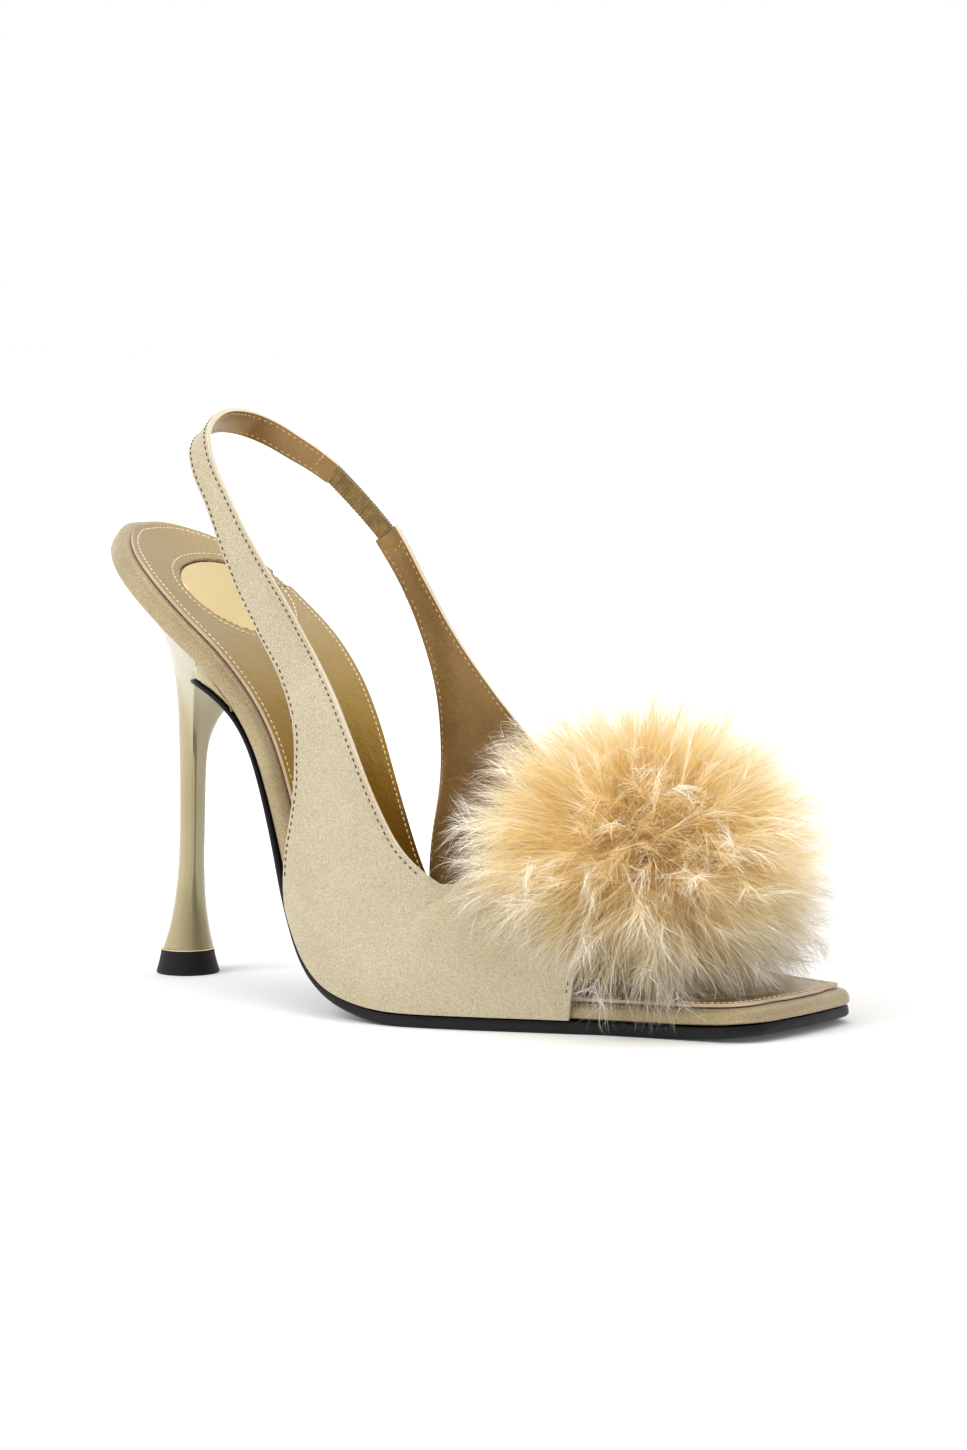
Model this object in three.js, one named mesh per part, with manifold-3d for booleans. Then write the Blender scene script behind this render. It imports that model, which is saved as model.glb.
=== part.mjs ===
// Right slingback sandal on a tall stiletto heel, with an open square toe and a feather pompom.
// Millimetres. X runs forward to the toe, Y to the wearer's left (the medial side), Z up.
// The origin is the middle of the top lift's lower face, where the heel stands on the floor.
import * as THREE from 'three';
import { mergeVertices } from 'three/addons/utils/BufferGeometryUtils.js';
import Module from 'manifold-3d';

const wasm = await Module();
wasm.setup();

// Driving sizes of the sole
const SOLE_LENGTH = 195.3;
const HEEL_BACK = 13.0;
const BALL_WIDTH = 77;
const SEAT_HEIGHT = 115.3;
const SEAT_ROUND = 26;
const TREAD_SKEW = 4.5;
const TOE_ROUND_LATERAL = 9;
const TOE_ROUND_MEDIAL = 4;
const TOE_BOW = 1.3;
const TOE_SPRING = 1.2;
const SEAT_DISH = 1.6;

// Thicknesses and clearances
const GAP = 0.3;
const OUTSOLE_FORE = 3.0;
const OUTSOLE_WAIST = 1.0;
const BOARD_FORE = 3.7;
const BOARD_SEAT = 6.6;
const BOARD_SHOULDER = 2.2;
const BOARD_CHAMFER = 0.5;
const OUTSOLE_MARGIN = 1.0;
const OUTSOLE_EDGE = 0.5;
const SOCK_THICKNESS = 0.8;
const SOCK_INSET = 2.6;
const SOCK_EDGE = 0.4;
const WALL = 1.5;

// Heel
const TOP_LIFT_HEIGHT = 6.0;
const TOP_LIFT_FLARE = 1.3;
const HEEL_TIP_RADIUS = 6.6;
const HEEL_STEM_RADIUS = 3.1;
const HEEL_STEM_AHEAD = 2.1;
const HEEL_INSET = 1.0;
const HEEL_FRONT = 28;
const EAR_FRONT = 40;

// Outsole's tail, which leaves the board under the heel's ears and turns down the breast
const TAIL_END = 16.5;
const TAIL_DROP = 17;

// Plaque
const PLAQUE_THICKNESS = 0.5;
const PLAQUE_CENTRE = [13.5, 4.0];
const PLAQUE_HALF_LENGTH = 10.8;
const PLAQUE_HALF_WIDTH = 16.5;

// Upper
const STRAP_RISE = 25;
const STRAP_WIDTH = 7.0;
const ELASTIC_WIDTH = 5;
const ELASTIC_THICKNESS = 1.2;
const ELASTIC_BOW = 0.6;

// Pompom
const POMPOM_CENTRE = [137, -2, 43];
const POMPOM_CORE = 25;
const POMPOM_RADIUS = 38;
const LOCK_RADIUS = 3.4;
const LOCK_COUNT = 96;
const LOCK_SAG = 4;

const FOREFOOT_HEIGHT = OUTSOLE_FORE + GAP + BOARD_FORE;
const STRAP_TOP = SEAT_HEIGHT + STRAP_RISE;

// Footbed sections from the seat's back to the toe. along is the share of the sole's length, rise the
// share of the climb from forefoot to seat, lateral and medial the half widths as shares of the ball.
const SOLE_SECTIONS = [
  { along: 0.000, rise: 1.000, lateral: 0.318, medial: 0.357 },
  { along: 0.034, rise: 0.950, lateral: 0.318, medial: 0.358 },
  { along: 0.096, rise: 0.873, lateral: 0.325, medial: 0.366 },
  { along: 0.168, rise: 0.772, lateral: 0.340, medial: 0.374 },
  { along: 0.229, rise: 0.684, lateral: 0.328, medial: 0.356 },
  { along: 0.291, rise: 0.539, lateral: 0.321, medial: 0.306 },
  { along: 0.343, rise: 0.346, lateral: 0.361, medial: 0.257 },
  { along: 0.394, rise: 0.157, lateral: 0.440, medial: 0.229 },
  { along: 0.446, rise: 0.055, lateral: 0.518, medial: 0.239 },
  { along: 0.496, rise: 0.018, lateral: 0.556, medial: 0.294 },
  { along: 0.558, rise: 0.000, lateral: 0.560, medial: 0.403 },
  { along: 0.651, rise: 0.000, lateral: 0.506, medial: 0.477 },
  { along: 0.743, rise: 0.000, lateral: 0.426, medial: 0.468 },
  { along: 0.835, rise: 0.000, lateral: 0.362, medial: 0.436 },
  { along: 0.918, rise: 0.000, lateral: 0.325, medial: 0.370 },
  { along: 1.000, rise: 0.000, lateral: 0.300, medial: 0.250 },
];

// Layer thicknesses along the sole: board and outsole as shares between their two named thicknesses.
const LAYERS = [
  { along: 0.000, board: 1.00, outsole: 0.00, margin: 0.0, spring: 0.0 },
  { along: 0.127, board: 0.80, outsole: 0.00, margin: 0.0, spring: 0.0 },
  { along: 0.291, board: 0.50, outsole: 0.00, margin: 0.0, spring: 0.0 },
  { along: 0.363, board: 0.35, outsole: 0.10, margin: 0.6, spring: 0.0 },
  { along: 0.446, board: 0.10, outsole: 0.40, margin: 1.0, spring: 0.0 },
  { along: 0.558, board: 0.00, outsole: 1.00, margin: 1.0, spring: 0.0 },
  { along: 0.753, board: 0.00, outsole: 1.00, margin: 1.0, spring: 0.0 },
  { along: 0.815, board: 0.00, outsole: 1.00, margin: 0.0, spring: 0.0 },
  { along: 0.897, board: 0.00, outsole: 1.00, margin: 0.0, spring: 0.0 },
  { along: 1.000, board: 0.00, outsole: 0.70, margin: -0.4, spring: 1.0 },
];

// How far the tail drops below the board's underside, from the ears' tip (0) to the tongue's end (1).
const TAIL = [
  { along: 0.00, drop: 0.00 },
  { along: 0.23, drop: 0.11 },
  { along: 0.45, drop: 0.24 },
  { along: 0.66, drop: 0.38 },
  { along: 0.85, drop: 0.62 },
  { along: 1.00, drop: 1.00 },
];

// Stem of the heel from its tip upwards. along is the share of the seat's height, flare the share of the
// step from stem to tip radius, ahead the share of the stem's shift towards the toe, flat the breast.
const STEM = [
  { along: 0.05, flare: 1.00, ahead: 0.1, flat: 1.00 },
  { along: 0.10, flare: 0.56, ahead: 0.3, flat: 0.97 },
  { along: 0.17, flare: 0.20, ahead: 0.5, flat: 0.90 },
  { along: 0.27, flare: 0.00, ahead: 0.8, flat: 0.82 },
  { along: 0.40, flare: 0.03, ahead: 1.0, flat: 0.80 },
  { along: 0.52, flare: 0.12, ahead: 1.1, flat: 0.78 },
  { along: 0.70, flare: 0.30, ahead: 1.2, flat: 0.76 },
  { along: 1.00, flare: 0.50, ahead: 1.2, flat: 0.76 },
];

// Crown line of the vamp from the toe opening to the throat: shares of sole length, ball width and strap
// height, with the place of each row's foot on the board.
const CROWN = [
  { x: 0.709, y: -0.010, z: 0.240, lateral: 0.695, medial: 0.709 },
  { x: 0.679, y: -0.008, z: 0.255, lateral: 0.659, medial: 0.669 },
  { x: 0.646, y: -0.005, z: 0.268, lateral: 0.618, medial: 0.625 },
  { x: 0.610, y: -0.003, z: 0.280, lateral: 0.571, medial: 0.577 },
  { x: 0.573, y: 0.000, z: 0.292, lateral: 0.525, medial: 0.532 },
];

// Throat edge above the part of each quarter that stands on the board. foot is the row's place on the
// board, as a share of the sole's length ahead of the heel tip, crown how far it arches over the foot.
const LATERAL_THROAT = [
  { foot: 0.489, x: 0.562, y: 0.182, z: 0.277, crown: 0.85 },
  { foot: 0.454, x: 0.554, y: 0.325, z: 0.248, crown: 0.65 },
  { foot: 0.423, x: 0.541, y: 0.410, z: 0.228, crown: 0.45 },
  { foot: 0.396, x: 0.519, y: 0.442, z: 0.232, crown: 0.30 },
  { foot: 0.373, x: 0.489, y: 0.455, z: 0.257, crown: 0.20 },
  { foot: 0.352, x: 0.459, y: 0.448, z: 0.291, crown: 0.12 },
  { foot: 0.335, x: 0.438, y: 0.442, z: 0.332, crown: 0.08 },
  { foot: 0.321, x: 0.420, y: 0.436, z: 0.371, crown: 0.05 },
  { foot: 0.308, x: 0.401, y: 0.429, z: 0.419, crown: 0.03 },
];

// Rear edge (low) and throat edge (high) of the lateral quarter where it runs free into the strap.
const LATERAL_FREE = [
  { lowX: 0.287, lowY: 0.432, lowZ: 0.264, x: 0.387, y: 0.419, z: 0.454 },
  { lowX: 0.296, lowY: 0.424, lowZ: 0.324, x: 0.370, y: 0.408, z: 0.493 },
  { lowX: 0.300, lowY: 0.416, lowZ: 0.383, x: 0.354, y: 0.396, z: 0.530 },
  { lowX: 0.297, lowY: 0.403, lowZ: 0.468, x: 0.335, y: 0.383, z: 0.566 },
  { lowX: 0.284, lowY: 0.390, lowZ: 0.516, x: 0.316, y: 0.370, z: 0.601 },
  { lowX: 0.263, lowY: 0.377, lowZ: 0.569, x: 0.296, y: 0.360, z: 0.634 },
  { lowX: 0.233, lowY: 0.360, lowZ: 0.619, x: 0.269, y: 0.344, z: 0.681 },
  { lowX: 0.192, lowY: 0.344, lowZ: 0.698, x: 0.232, y: 0.332, z: 0.741 },
  { lowX: 0.160, lowY: 0.331, lowZ: 0.780, x: 0.193, y: 0.319, z: 0.811 },
];

// Middle line of the strap round the back of the ankle, from the lateral to the medial side. lean is
// the angle of its width to the floor, in degrees, and wide its share of the strap's width.
const STRAP = [
  { x: 0.152, y: -0.316, z: 0.857, lean: 32, wide: 1.00 },
  { x: 0.131, y: -0.309, z: 0.905, lean: 32, wide: 1.00 },
  { x: 0.116, y: -0.283, z: 0.942, lean: 35, wide: 1.00 },
  { x: 0.105, y: -0.238, z: 0.962, lean: 40, wide: 1.00 },
  { x: 0.094, y: -0.175, z: 0.974, lean: 45, wide: 1.00 },
  { x: 0.082, y: -0.097, z: 0.983, lean: 48, wide: 1.00 },
  { x: 0.067, y: 0.000, z: 0.987, lean: 50, wide: 1.00 },
  { x: 0.060, y: 0.091, z: 0.985, lean: 52, wide: 1.00 },
  { x: 0.062, y: 0.169, z: 0.977, lean: 54, wide: 1.00 },
  { x: 0.078, y: 0.227, z: 0.960, lean: 56, wide: 0.98 },
  { x: 0.103, y: 0.260, z: 0.936, lean: 57, wide: 0.94 },
  { x: 0.129, y: 0.279, z: 0.914, lean: 56, wide: 0.88 },
  { x: 0.154, y: 0.292, z: 0.890, lean: 53, wide: 0.83 },
];
const STRAP_STEPS = 3;

const MEDIAL_THROAT = [
  { foot: 0.496, x: 0.554, y: 0.182, z: 0.300, crown: 0.85 },
  { foot: 0.459, x: 0.534, y: 0.300, z: 0.322, crown: 0.65 },
  { foot: 0.429, x: 0.509, y: 0.360, z: 0.346, crown: 0.45 },
  { foot: 0.401, x: 0.477, y: 0.383, z: 0.376, crown: 0.30 },
  { foot: 0.379, x: 0.447, y: 0.390, z: 0.411, crown: 0.20 },
  { foot: 0.359, x: 0.418, y: 0.387, z: 0.450, crown: 0.14 },
  { foot: 0.343, x: 0.389, y: 0.377, z: 0.494, crown: 0.10 },
  { foot: 0.329, x: 0.370, y: 0.370, z: 0.527, crown: 0.06 },
];

const MEDIAL_FREE = [
  { lowX: 0.304, lowY: 0.292, lowZ: 0.252, x: 0.350, y: 0.364, z: 0.561 },
  { lowX: 0.311, lowY: 0.331, lowZ: 0.334, x: 0.330, y: 0.357, z: 0.600 },
  { lowX: 0.306, lowY: 0.351, lowZ: 0.414, x: 0.311, y: 0.351, z: 0.639 },
  { lowX: 0.298, lowY: 0.358, lowZ: 0.498, x: 0.296, y: 0.343, z: 0.677 },
  { lowX: 0.286, lowY: 0.351, lowZ: 0.564, x: 0.282, y: 0.334, z: 0.711 },
  { lowX: 0.266, lowY: 0.338, lowZ: 0.646, x: 0.270, y: 0.325, z: 0.746 },
  { lowX: 0.243, lowY: 0.325, lowZ: 0.712, x: 0.258, y: 0.318, z: 0.777 },
  { lowX: 0.214, lowY: 0.312, lowZ: 0.772, x: 0.246, y: 0.312, z: 0.802 },
];

// Smooth monotone curve through one column of a table, over its along column.
function curveOf(rows, column) {
  const xs = rows.map((row) => row.along);
  const ys = rows.map((row) => row[column]);
  const last = xs.length - 1;
  const steps = xs.slice(1).map((x, i) => (ys[i + 1] - ys[i]) / (x - xs[i]));
  const slopes = ys.map((value, i) => {
    if (i === 0) return steps[0];
    if (i === last) return steps[last - 1];
    if (steps[i - 1] * steps[i] <= 0) return 0;
    return 2 * steps[i - 1] * steps[i] / (steps[i - 1] + steps[i]);
  });
  return (at) => {
    const x = Math.min(Math.max(at, xs[0]), xs[last]);
    let i = 0;
    while (i < last - 1 && x > xs[i + 1]) i += 1;
    const width = xs[i + 1] - xs[i];
    const t = (x - xs[i]) / width;
    const start = (2 * t - 3) * t * t + 1;
    const rise = ((t - 2) * t + 1) * t * width;
    const fall = (t - 1) * t * t * width;
    return start * ys[i] + (1 - start) * ys[i + 1] + rise * slopes[i] + fall * slopes[i + 1];
  };
}

const riseAt = curveOf(SOLE_SECTIONS, 'rise');
const lateralAt = curveOf(SOLE_SECTIONS, 'lateral');
const medialAt = curveOf(SOLE_SECTIONS, 'medial');
const boardShareAt = curveOf(LAYERS, 'board');
const outsoleShareAt = curveOf(LAYERS, 'outsole');
const marginAt = curveOf(LAYERS, 'margin');
const springAt = curveOf(LAYERS, 'spring');
const dropAt = curveOf(TAIL, 'drop');
const flareAt = curveOf(STEM, 'flare');
const aheadAt = curveOf(STEM, 'ahead');
const flatAt = curveOf(STEM, 'flat');

const LATERAL = -1;
const MEDIAL = 1;

// Lines of equal footbed height run across the sole, a little further back on the lateral side.
function lineLength(y) {
  return SOLE_LENGTH - TREAD_SKEW * (0.5 - y / BALL_WIDTH);
}

function alongOf(x, y) {
  return (x + HEEL_BACK) / lineLength(y);
}

function footbedHeight(x, y) {
  const along = alongOf(x, y);
  const climb = (SEAT_HEIGHT - FOREFOOT_HEIGHT) * riseAt(along);
  return FOREFOOT_HEIGHT + climb + TOE_SPRING * springAt(along);
}

function footbedSlope(x, y) {
  const step = 0.5;
  return (footbedHeight(x + step, y) - footbedHeight(x - step, y)) / (2 * step);
}

function boardThickness(x, y) {
  return BOARD_FORE + (BOARD_SEAT - BOARD_FORE) * boardShareAt(alongOf(x, y));
}

function outsoleThickness(x, y) {
  return OUTSOLE_WAIST + (OUTSOLE_FORE - OUTSOLE_WAIST) * outsoleShareAt(alongOf(x, y));
}

// Half width of the footbed, with the round seat and the two rounded toe corners.
function halfWidth(side, along) {
  const table = side === LATERAL ? lateralAt : medialAt;
  const fromBack = Math.max(along, 0) * SOLE_LENGTH;
  const fromToe = Math.max(1 - along, 0) * SOLE_LENGTH;
  const corner = side === LATERAL ? TOE_ROUND_LATERAL : TOE_ROUND_MEDIAL;
  let width = BALL_WIDTH * table(along);
  if (fromBack < SEAT_ROUND) width *= Math.sqrt(1 - (1 - fromBack / SEAT_ROUND) ** 2.2);
  if (fromToe < corner) width -= corner - Math.sqrt(corner ** 2 - (corner - fromToe) ** 2);
  return width;
}

// The seat is dished: its middle lies below the rim.
function dishAt(x, y) {
  const along = alongOf(x, y);
  const side = y < 0 ? LATERAL : MEDIAL;
  const share = Math.min(Math.abs(y) / Math.max(halfWidth(side, along), 1), 1);
  const fade = THREE.MathUtils.smoothstep(0.5 - along, 0, 0.3);
  return SEAT_DISH * fade * (1 - share * share);
}

// A point at a depth below the footbed, square to it in the side view.
function bedPoint(x, y, depth) {
  const slope = footbedSlope(x, y);
  const length = Math.hypot(1, slope);
  return [x + slope * depth / length, y, footbedHeight(x, y) - depth / length];
}

function dishedPoint(x, y, depth) {
  return bedPoint(x, y, depth + dishAt(x, y));
}

// Height of the board's underside over a place on the floor.
function undersideHeight(x, y) {
  let above = x;
  let point = bedPoint(above, y, 0);
  for (let turn = 0; turn < 14; turn += 1) {
    point = bedPoint(above, y, boardThickness(above, y) + GAP);
    above += x - point[0];
  }
  return point[2];
}

// The face that the outsole is laid on: the board's underside, and behind the ears' tip the tail's path.
function solePath(x, y) {
  const start = bedPoint(EAR_FRONT, y, boardThickness(EAR_FRONT, y) + GAP);
  const back = start[0] - (EAR_FRONT - x);
  const share = (EAR_FRONT - x) / (EAR_FRONT - TAIL_END);
  return [back, y, undersideHeight(back, y) - TAIL_DROP * dropAt(share)];
}

function solePoint(x, y, depth) {
  if (x >= EAR_FRONT) return bedPoint(x, y, boardThickness(x, y) + GAP + depth);
  const step = 0.4;
  const ahead = solePath(x + step, y);
  const behind = solePath(x - step, y);
  const length = Math.hypot(ahead[0] - behind[0], ahead[2] - behind[2]);
  const nx = (ahead[2] - behind[2]) / length;
  const nz = (ahead[0] - behind[0]) / length;
  const point = solePath(x, y);
  return [point[0] + nx * depth, y, point[2] - nz * depth];
}

// Place of a footbed section in plan: the outline point of one side.
function outlinePoint(side, along, width) {
  const y = side * width;
  return [along * lineLength(y) - HEEL_BACK, y];
}

// Sections along the sole, shared by every layer: close together where the footbed bends at the arch.
const BEND_START = 0.26;
const BEND_END = 0.58;
const BEND_STEP = 0.02;
const PLAIN_STEP = 0.045;

function bodySections(start, end) {
  const sections = [];
  const add = (from, to, step) => {
    const count = Math.round((to - from) / step);
    for (let i = 0; i < count; i += 1) sections.push(from + (to - from) * i / count);
  };
  const roundEnd = 1 - TOE_ROUND_LATERAL / SOLE_LENGTH;
  add(SEAT_ROUND / SOLE_LENGTH, BEND_START, PLAIN_STEP);
  add(BEND_START, BEND_END, BEND_STEP);
  add(BEND_END, roundEnd, PLAIN_STEP);
  sections.push(roundEnd);
  return sections.filter((along) => along > start + 0.004 && along < end - 0.004);
}

// Sections of one layer: a round back end, the shared sections, and a round front end where it has one.
function sectionsBetween(start, end, roundStart, roundEnd) {
  const sections = [];
  const startSpan = roundStart / SOLE_LENGTH;
  const endSpan = roundEnd / SOLE_LENGTH;
  const startCount = roundStart > 0 ? 6 : 0;
  const endCount = roundEnd > 0 ? 5 : 0;
  for (let i = 0; i < startCount; i += 1) {
    sections.push(start + startSpan * (1 - Math.cos(Math.PI / 2 * i / startCount)));
  }
  sections.push(start + startSpan);
  sections.push(...bodySections(start + startSpan, end - endSpan));
  sections.push(end - endSpan);
  for (let i = 1; i <= endCount; i += 1) {
    sections.push(end - endSpan * (1 - Math.sin(Math.PI / 2 * i / endCount)));
  }
  return sections;
}

const ACROSS = 4;

// Closed plan outline: back point, lateral side, front edge, medial side. bow bends the front edge.
function closedOutline(sections, widthAt, bow) {
  const last = sections.length - 1;
  const side = (which) => sections.map((along) => outlinePoint(which, along, widthAt(which, along)));
  const lateral = side(LATERAL);
  const medial = side(MEDIAL);
  const front = [];
  for (let i = 1; i <= ACROSS; i += 1) {
    const t = i / (ACROSS + 1);
    const x = lateral[last][0] + (medial[last][0] - lateral[last][0]) * t + bow * 4 * t * (1 - t);
    front.push([x, lateral[last][1] + (medial[last][1] - lateral[last][1]) * t]);
  }
  return [...lateral, ...front, ...medial.slice(1).reverse()];
}

// The outline moved inwards, or outwards where the inset is negative.
function insetOutline(outline, inset) {
  const count = outline.length;
  return outline.map(([x, y], i) => {
    const before = outline[(i + count - 1) % count];
    const after = outline[(i + 1) % count];
    const dx = after[0] - before[0];
    const dy = after[1] - before[1];
    const length = Math.hypot(dx, dy);
    const by = typeof inset === 'function' ? inset(x, y) : inset;
    return [x - dy / length * by, y + dx / length * by];
  });
}

// Gathers points and triangles of one closed body.
function meshBuilder() {
  const positions = [];
  const indices = [];
  return {
    point(p) {
      positions.push(...p);
      return positions.length / 3 - 1;
    },
    triangle(a, b, c) {
      if (a !== b && b !== c && a !== c) indices.push(a, b, c);
    },
    quad(a, b, c, d) {
      this.triangle(a, b, c);
      this.triangle(a, c, d);
    },
    geometry() {
      const geometry = new THREE.BufferGeometry();
      geometry.setAttribute('position', new THREE.Float32BufferAttribute(positions, 3));
      geometry.setIndex(indices);
      return facingOut(geometry);
    },
  };
}

function signedVolume(geometry) {
  const position = geometry.getAttribute('position');
  const index = geometry.getIndex();
  const corner = [new THREE.Vector3(), new THREE.Vector3(), new THREE.Vector3()];
  let volume = 0;
  for (let i = 0; i < index.count; i += 3) {
    corner.forEach((point, k) => point.fromBufferAttribute(position, index.getX(i + k)));
    volume += corner[0].dot(corner[1].cross(corner[2])) / 6;
  }
  return volume;
}

function facingOut(geometry) {
  if (signedVolume(geometry) > 0) return geometry;
  const index = geometry.getIndex();
  for (let i = 0; i < index.count; i += 3) {
    const b = index.getX(i + 1);
    index.setX(i + 1, index.getX(i + 2));
    index.setX(i + 2, b);
  }
  return geometry;
}

function toSolid(geometry) {
  const bare = geometry.clone();
  bare.deleteAttribute('normal');
  bare.deleteAttribute('uv');
  const merged = mergeVertices(bare, 1e-4);
  const vertProperties = new Float32Array(merged.getAttribute('position').array);
  const triVerts = new Uint32Array(merged.getIndex().array);
  return new wasm.Manifold(new wasm.Mesh({ numProp: 3, vertProperties, triVerts }));
}

function toGeometry(solid) {
  const mesh = solid.getMesh();
  const geometry = new THREE.BufferGeometry();
  geometry.setAttribute('position', new THREE.BufferAttribute(new Float32Array(mesh.vertProperties), 3));
  geometry.setIndex(new THREE.BufferAttribute(new Uint32Array(mesh.triVerts), 1));
  return geometry;
}

function largestOf(solid) {
  const pieces = solid.decompose();
  pieces.sort((a, b) => b.volume() - a.volume());
  return pieces[0];
}

// One flat cap over a ring of points that pairs its lateral and medial side, section by section.
function addCap(builder, outline, ring, sectionCount, lift) {
  const total = outline.length;
  const row = (i) => {
    if (i === 0) return new Array(ACROSS + 2).fill(ring[0]);
    if (i === sectionCount - 1) return ring.slice(i, i + ACROSS + 2);
    const near = outline[i];
    const far = outline[total - i];
    const inner = [];
    for (let k = 1; k <= ACROSS; k += 1) {
      const t = k / (ACROSS + 1);
      inner.push(builder.point(lift(near[0] + (far[0] - near[0]) * t, near[1] + (far[1] - near[1]) * t)));
    }
    return [ring[i], ...inner, ring[total - i]];
  };
  let before = row(0);
  for (let i = 1; i < sectionCount; i += 1) {
    const here = row(i);
    for (let k = 0; k <= ACROSS; k += 1) builder.quad(before[k], here[k], here[k + 1], before[k + 1]);
    before = here;
  }
}

function addBand(builder, ringA, ringB) {
  const count = ringA.length;
  for (let i = 0; i < count; i += 1) {
    const next = (i + 1) % count;
    builder.quad(ringA[i], ringB[i], ringB[next], ringA[next]);
  }
}

// A plate that follows the footbed. Each step of the profile has an inset from the outline and a lift,
// the function that places a plan point at the step's depth.
function plate(outline, sectionCount, profile) {
  const builder = meshBuilder();
  const outlines = profile.map((step) => insetOutline(outline, step.inset));
  const rings = profile.map((step, k) => outlines[k].map(([x, y]) => builder.point(step.lift(x, y))));
  const last = profile.length - 1;
  rings.slice(1).forEach((ring, k) => addBand(builder, rings[k], ring));
  addCap(builder, outlines[0], rings[0], sectionCount, profile[0].lift);
  addLowerCap(builder, outlines[last], rings[last], sectionCount, profile[last].lift);
  return builder.geometry();
}

// The lower cap, with its triangles turned the other way round.
function addLowerCap(builder, outline, ring, sectionCount, lift) {
  const turned = {
    point: (p) => builder.point(p),
    quad: (a, b, c, d) => builder.quad(d, c, b, a),
  };
  addCap(turned, outline, ring, sectionCount, lift);
}

const boardSections = sectionsBetween(0, 1, SEAT_ROUND, TOE_ROUND_LATERAL);
const boardOutline = closedOutline(boardSections, halfWidth, TOE_BOW);

const boardLift = (depth) => (x, y) => dishedPoint(x, y, depth);
const underLift = (lessDepth) => (x, y) => bedPoint(x, y, boardThickness(x, y) - lessDepth);

function insoleBoard() {
  const shoulder = BOARD_SHOULDER;
  return plate(boardOutline, boardSections.length, [
    { inset: shoulder, lift: boardLift(0) },
    { inset: shoulder * 0.5, lift: boardLift(shoulder * 0.14) },
    { inset: shoulder * 0.15, lift: boardLift(shoulder * 0.48) },
    { inset: 0, lift: boardLift(shoulder) },
    { inset: 0, lift: underLift(BOARD_CHAMFER) },
    { inset: BOARD_CHAMFER, lift: underLift(0) },
  ]);
}

// The board's space with a clearance all round, for cutting what lies against it.
function boardSpace() {
  return plate(boardOutline, boardSections.length, [
    { inset: -GAP, lift: boardLift(-GAP) },
    { inset: -GAP, lift: underLift(-GAP) },
  ]);
}

function plaqueRing(scale, depth) {
  const count = 32;
  const points = [];
  for (let i = 0; i < count; i += 1) {
    const angle = 2 * Math.PI * i / count;
    const x = PLAQUE_CENTRE[0] + PLAQUE_HALF_LENGTH * scale * Math.cos(angle);
    const y = PLAQUE_CENTRE[1] + PLAQUE_HALF_WIDTH * scale * Math.sin(angle);
    points.push(dishedPoint(x, y, depth));
  }
  return points;
}

// An oval slab between two depths under the footbed, grown by a margin.
function ovalSlab(margin, topDepth, bottomDepth) {
  const grow = 1 + margin / Math.min(PLAQUE_HALF_LENGTH, PLAQUE_HALF_WIDTH);
  const builder = meshBuilder();
  const scales = [grow, grow * 0.7, grow * 0.35];
  const rings = (depth) => scales.map((scale) => plaqueRing(scale, depth).map((p) => builder.point(p)));
  const centre = (depth) => builder.point(dishedPoint(...PLAQUE_CENTRE, depth));
  const top = rings(topDepth);
  const bottom = rings(bottomDepth);
  const fan = (ring, middle, up) => ring.forEach((a, i) => {
    const b = ring[(i + 1) % ring.length];
    if (up) builder.triangle(middle, a, b);
    else builder.triangle(middle, b, a);
  });
  addBand(builder, top[1], top[0]);
  addBand(builder, top[2], top[1]);
  fan(top[2], centre(topDepth), true);
  addBand(builder, bottom[0], bottom[1]);
  addBand(builder, bottom[1], bottom[2]);
  fan(bottom[2], centre(bottomDepth), false);
  addBand(builder, top[0], bottom[0]);
  return builder.geometry();
}

function plaque() {
  return ovalSlab(0, -GAP - PLAQUE_THICKNESS, -GAP);
}

function sockLining() {
  const whole = plate(boardOutline, boardSections.length, [
    { inset: SOCK_INSET + SOCK_EDGE, lift: boardLift(-GAP - SOCK_THICKNESS) },
    { inset: SOCK_INSET, lift: boardLift(SOCK_EDGE - GAP - SOCK_THICKNESS) },
    { inset: SOCK_INSET, lift: boardLift(-GAP) },
  ]);
  const window = ovalSlab(GAP, -GAP - SOCK_THICKNESS - 1, -GAP + 1);
  return toGeometry(toSolid(whole).subtract(toSolid(window)));
}

// Outsole in the sole's own plan: its tail is a round tongue, its waist is the board's width.
const tailStart = (TAIL_END + HEEL_BACK) / SOLE_LENGTH;
const earStart = (EAR_FRONT + HEEL_BACK) / SOLE_LENGTH;
const TONGUE_SHARE = 0.7;

function outsoleWidth(side, along) {
  const share = (earStart - along) / (earStart - tailStart);
  const turn = Math.min(Math.max((share - 1 + TONGUE_SHARE) / TONGUE_SHARE, 0), 1);
  return halfWidth(side, along) * Math.sqrt(1 - turn * turn);
}

const tongueLength = (earStart - tailStart) * TONGUE_SHARE * SOLE_LENGTH;
const outsoleSections = sectionsBetween(tailStart, 1, tongueLength, TOE_ROUND_LATERAL);
const outsoleOutline = closedOutline(outsoleSections, outsoleWidth, TOE_BOW);

function outsoleInset(extra) {
  return (x, y) => extra - OUTSOLE_MARGIN * marginAt(alongOf(x, y));
}

function soleLift(share, extra) {
  return (x, y) => solePoint(x, y, outsoleThickness(x, y) * share + extra);
}

function outsole() {
  return plate(outsoleOutline, outsoleSections.length, [
    { inset: outsoleInset(OUTSOLE_EDGE / 2), lift: soleLift(0, 0) },
    { inset: outsoleInset(0), lift: soleLift(0.3, 0) },
    { inset: outsoleInset(0), lift: soleLift(0.75, 0) },
    { inset: outsoleInset(OUTSOLE_EDGE), lift: soleLift(1, 0) },
  ]);
}

function outsoleSpace() {
  return plate(outsoleOutline, outsoleSections.length, [
    { inset: outsoleInset(-GAP), lift: soleLift(0, -GAP) },
    { inset: outsoleInset(-GAP), lift: soleLift(1, GAP) },
  ]);
}

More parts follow.
